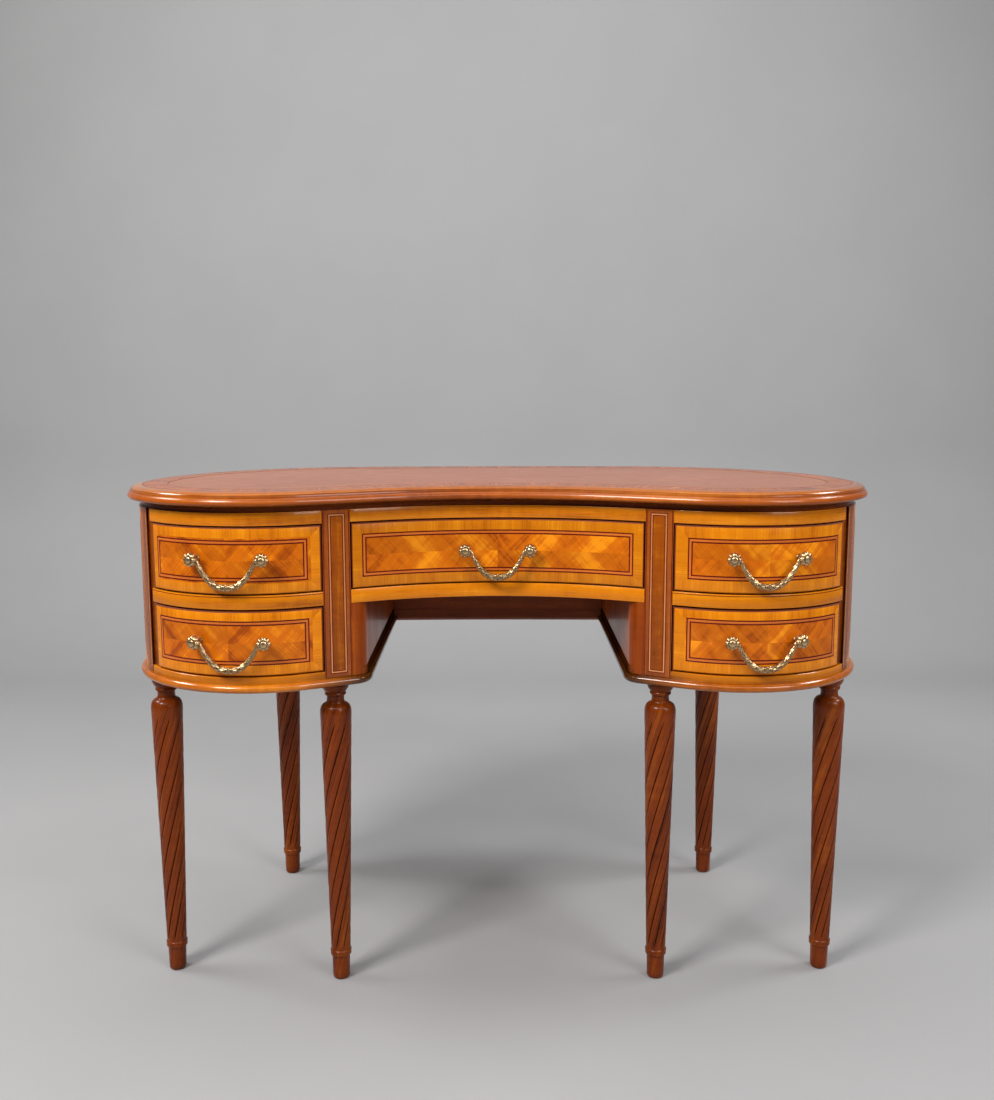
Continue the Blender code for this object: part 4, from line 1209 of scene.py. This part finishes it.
# ---------------------------------------------------------------- drawers
def drawer(tag, x0, x1, low, high, rest, box, back, handle_x, handle_z, lines, shade=1.0):
    f = Front(x0, x1, low)
    tall = high - low
    left, right, foot, head = lines
    inset = min(left, foot)
    sh = Shape()
    # The rounded edge round the front is bare mahogany dimmed by dims: partly a dark edging, partly painted shade in
    # the gaps; its lower edge is satinwood instead (foot).
    rings = [(0.0003, -RAIL_T), (0.0003, -0.0022), (0.0008, -0.0010), (0.0016, -0.0003), (0.0024, 0.0),
             (inset + 0.003, 0.0)]
    panel(sh, f, tall, rings, 56, 4, quartered(0, tones=(1.00, 0.84, 0.88, 1.02)),
          [(2, "along"), (2, "along"), (2, "along"), (2, "along"), (1, "cross")],
          dims=(0.70, 0.45, 0.55, 0.75, shade), foot=1)
    sh.build(f"face_{tag}", [SATIN, BAND, INNER], tag, [f"{tag}_front"])
    sh = Shape()
    w = f.width
    at = 0.0
    for width, number in ((0.0020, 0), (0.0030, 1), (0.0020, 0)):
        inlay_loop(sh, f, left + at, w - right - at, foot + at, tall - head - at, width, number, 56, 2)
        at += width
    sh.build(f"lines_{tag}", [LINE, STRING], tag)

    # tails of the drawer sides, let into the ends of the front from behind
    sh = Shape()
    for x, out in ((x0 + 0.0003, -1.0), (x1 - 0.0003, 1.0)):
        yb, yf = front_y(x, -RAIL_T + 0.0001), front_y(x, -0.0075)
        for k in range(3):
            zc = low + tall * (k + 0.5) / 3.0
            shape = [(yb, zc - 0.0075), (yf, zc - 0.0105), (yf, zc + 0.0105), (yb, zc + 0.0075)]
            sheets = [[(x + out * h, y, z) for y, z in shape] for h in (-0.0006, 0.0001)]
            shift = luck(9.0)
            flat = [(y + shift, z + shift) for y, z in shape]
            for sheet in sheets:
                sh.face(sheet, flat, 0, 0.85)
            for i in range(4):
                j = (i + 1) % 4
                sh.face([sheets[0][i], sheets[0][j], sheets[1][j], sheets[1][i]],
                        [flat[i], flat[j], flat[j], flat[i]], 0, 0.5)
    sh.build(f"dovetails_{tag}", [OAK], tag)

    a, b = box
    inner = -RAIL_T - 0.0002
    wall_t = 0.010
    z1, z0 = high - 0.0065, rest + 0.0006
    sh = Shape()
    for p, q in ((a, a + wall_t), (b - wall_t, b)):
        pts = [(p, front_y(p, inner)), (q, front_y(q, inner)), (q, back), (p, back)]
        prism(sh, pts, z0, z1, soft=0.0009)
    pts = [(a + wall_t, back - wall_t), (b - wall_t, back - wall_t), (b - wall_t, back),
           (a + wall_t, back)]
    prism(sh, pts, z0, z1 - 0.004, soft=0.0009)
    sh.build(f"case_{tag}", [OAK], tag, [f"{tag}_box"])
    fa, fb = a + wall_t, b - wall_t
    pts = [(x, front_y(x, inner)) for x in steps(fa, fb, 24)] + [(fb, back - wall_t), (fa, back - wall_t)]
    sh = Shape()
    prism(sh, pts, low + 0.0060, low + 0.0125, soft=0.0003, upright=True)
    sh.build(f"floor_{tag}", [OAK], tag, [f"{tag}_bottom"])
    handle(tag, tag, handle_x, handle_z, POST_HALF if handle_x else POST_HALF_MID)


X0, X1 = STILE_OUT + EASE, POST_IN - EASE
BOX, BOX_BACK = (0.2585, 0.5035), 0.058
for side, sign in SIDES:
    a, b = (X0, X1) if sign > 0 else (-X1, -X0)
    box = BOX if sign > 0 else (-BOX[1], -BOX[0])
    f = Front(X0, X1, 0.0)
    lead, tail = f.u(0.2740), f.width - f.u(0.4990)
    m1, m2 = (lead, tail) if sign > 0 else (tail, lead)
    drawer(f"drawer_upper_{side}", a, b, DRAWER_LOW, DRAWER_HIGH, MID_HIGH, box, BOX_BACK,
           sign * HANDLE_X, HANDLE_UP, (m1, m2, 0.0180, 0.0185), 0.96)
    drawer(f"drawer_lower_{side}", a, b, LOWER_LOW, LOWER_HIGH, BASE_HIGH, box, BOX_BACK,
           sign * HANDLE_X, HANDLE_LOW, (m1, m2, 0.0160, 0.0145))
# The centre drawer's border is dimmed to 0.82, painted shade in the hollow of the front.
drawer("drawer_center", -STILE_IN + EASE, STILE_IN - EASE, DRAWER_LOW, DRAWER_HIGH, MID_HIGH,
       (-0.190, 0.190), 0.235, 0.0, HANDLE_MID, (0.0170, 0.0170, 0.0160, 0.0167), 0.82)


# ---------------------------------------------------------------- studio
def stage_material(name, rgb, rough):
    g = Graph(name)
    n = g.noise(g.place(), 3.0, 3.0)
    col = g.ramp(n, [(0.3, tuple(c * 0.97 for c in rgb)), (0.7, rgb)])
    return g.set(base_color=col, roughness=rough)


me = bpy.data.meshes.new("studio_sweep")
bm = bmesh.new()
prof = [(-4.0, 0.0), (1.6, 0.0)]
prof += [(1.6 + 0.7 * math.sin(t), 0.7 - 0.7 * math.cos(t)) for t in steps(0.0, math.pi / 2, 16)[1:]]
prof += [(2.3, 4.5)]
loops = [[bm.verts.new((x, y, z)) for y, z in prof] for x in (-5.0, 5.0)]
for i in range(len(prof) - 1):
    bm.faces.new((loops[0][i], loops[1][i], loops[1][i + 1], loops[0][i + 1]))
bmesh.ops.recalc_face_normals(bm, faces=bm.faces)
bm.to_mesh(me)
bm.free()
me.shade_smooth()
sweep = bpy.data.objects.new("studio_sweep", me)
me.materials.append(stage_material("studio_grey", (0.345, 0.345, 0.35), 0.75))
bpy.context.scene.collection.objects.link(sweep)


def lamp(name, at, to, size, watts, colour=(1.0, 1.0, 1.0)):
    data = bpy.data.lights.new(name, "AREA")
    data.shape = "RECTANGLE"
    data.size, data.size_y = size
    data.energy = watts
    data.color = colour
    ob = bpy.data.objects.new(name, data)
    ob.location = at
    ob.rotation_euler = (Vector(to) - Vector(at)).to_track_quat("-Z", "Y").to_euler()
    bpy.context.scene.collection.objects.link(ob)
    return ob


lamp("key", (-1.9, -2.1, 3.1), (0.0, 0.0, 0.6), (1.0, 1.0), 112.0, (1.0, 0.97, 0.93))
lamp("strip", (0.0, -2.5, 3.0), (0.0, 0.0, 0.6), (4.4, 0.30), 34.0, (1.0, 0.98, 0.95))
lamp("fill", (2.3, -2.5, 2.2), (0.0, 0.0, 0.55), (1.4, 1.4), 48.0, (0.98, 0.98, 1.0))
lamp("side_left", (-2.0, 0.12, 2.1), (-0.3, 0.0, 0.7), (0.85, 0.40), 26.0)
lamp("side_right", (2.0, 0.12, 2.1), (0.3, 0.0, 0.7), (0.85, 0.40), 26.0)
lamp("above", (0.0, 0.3, 3.0), (0.0, 0.0, 0.0), (2.6, 2.0), 10.0)
lamp("wall_wash", (0.0, 0.4, 3.4), (0.0, 2.3, 1.9), (3.5, 0.8), 22.0)

world = bpy.data.worlds.new("studio")
bpy.context.scene.world = world
world.use_nodes = True
world.node_tree.nodes["Background"].inputs["Color"].default_value = (0.80, 0.82, 0.85, 1.0)
world.node_tree.nodes["Background"].inputs["Strength"].default_value = 0.14

pitch, yaw, roll = 0.140386, 0.000911, -0.0015905
fw = Vector((math.sin(yaw) * math.cos(pitch), math.cos(yaw) * math.cos(pitch), -math.sin(pitch)))
r = Vector((math.cos(yaw), -math.sin(yaw), 0.0))
u = r.cross(fw)
r2, u2 = r * math.cos(roll) + u * math.sin(roll), u * math.cos(roll) - r * math.sin(roll)
cam = bpy.data.cameras.new("camera")
cam.sensor_width = 36.0
cam.lens = 36.0 * 1130.0 / 1100.0
cam_ob = bpy.data.objects.new("camera", cam)
m = Matrix((r2, u2, -fw)).transposed().to_4x4()
m.translation = Vector((-0.002608, -1.854875, 0.903204))
cam_ob.matrix_world = m
bpy.context.scene.collection.objects.link(cam_ob)
bpy.context.scene.camera = cam_ob
bpy.context.scene.view_settings.view_transform = "Standard"
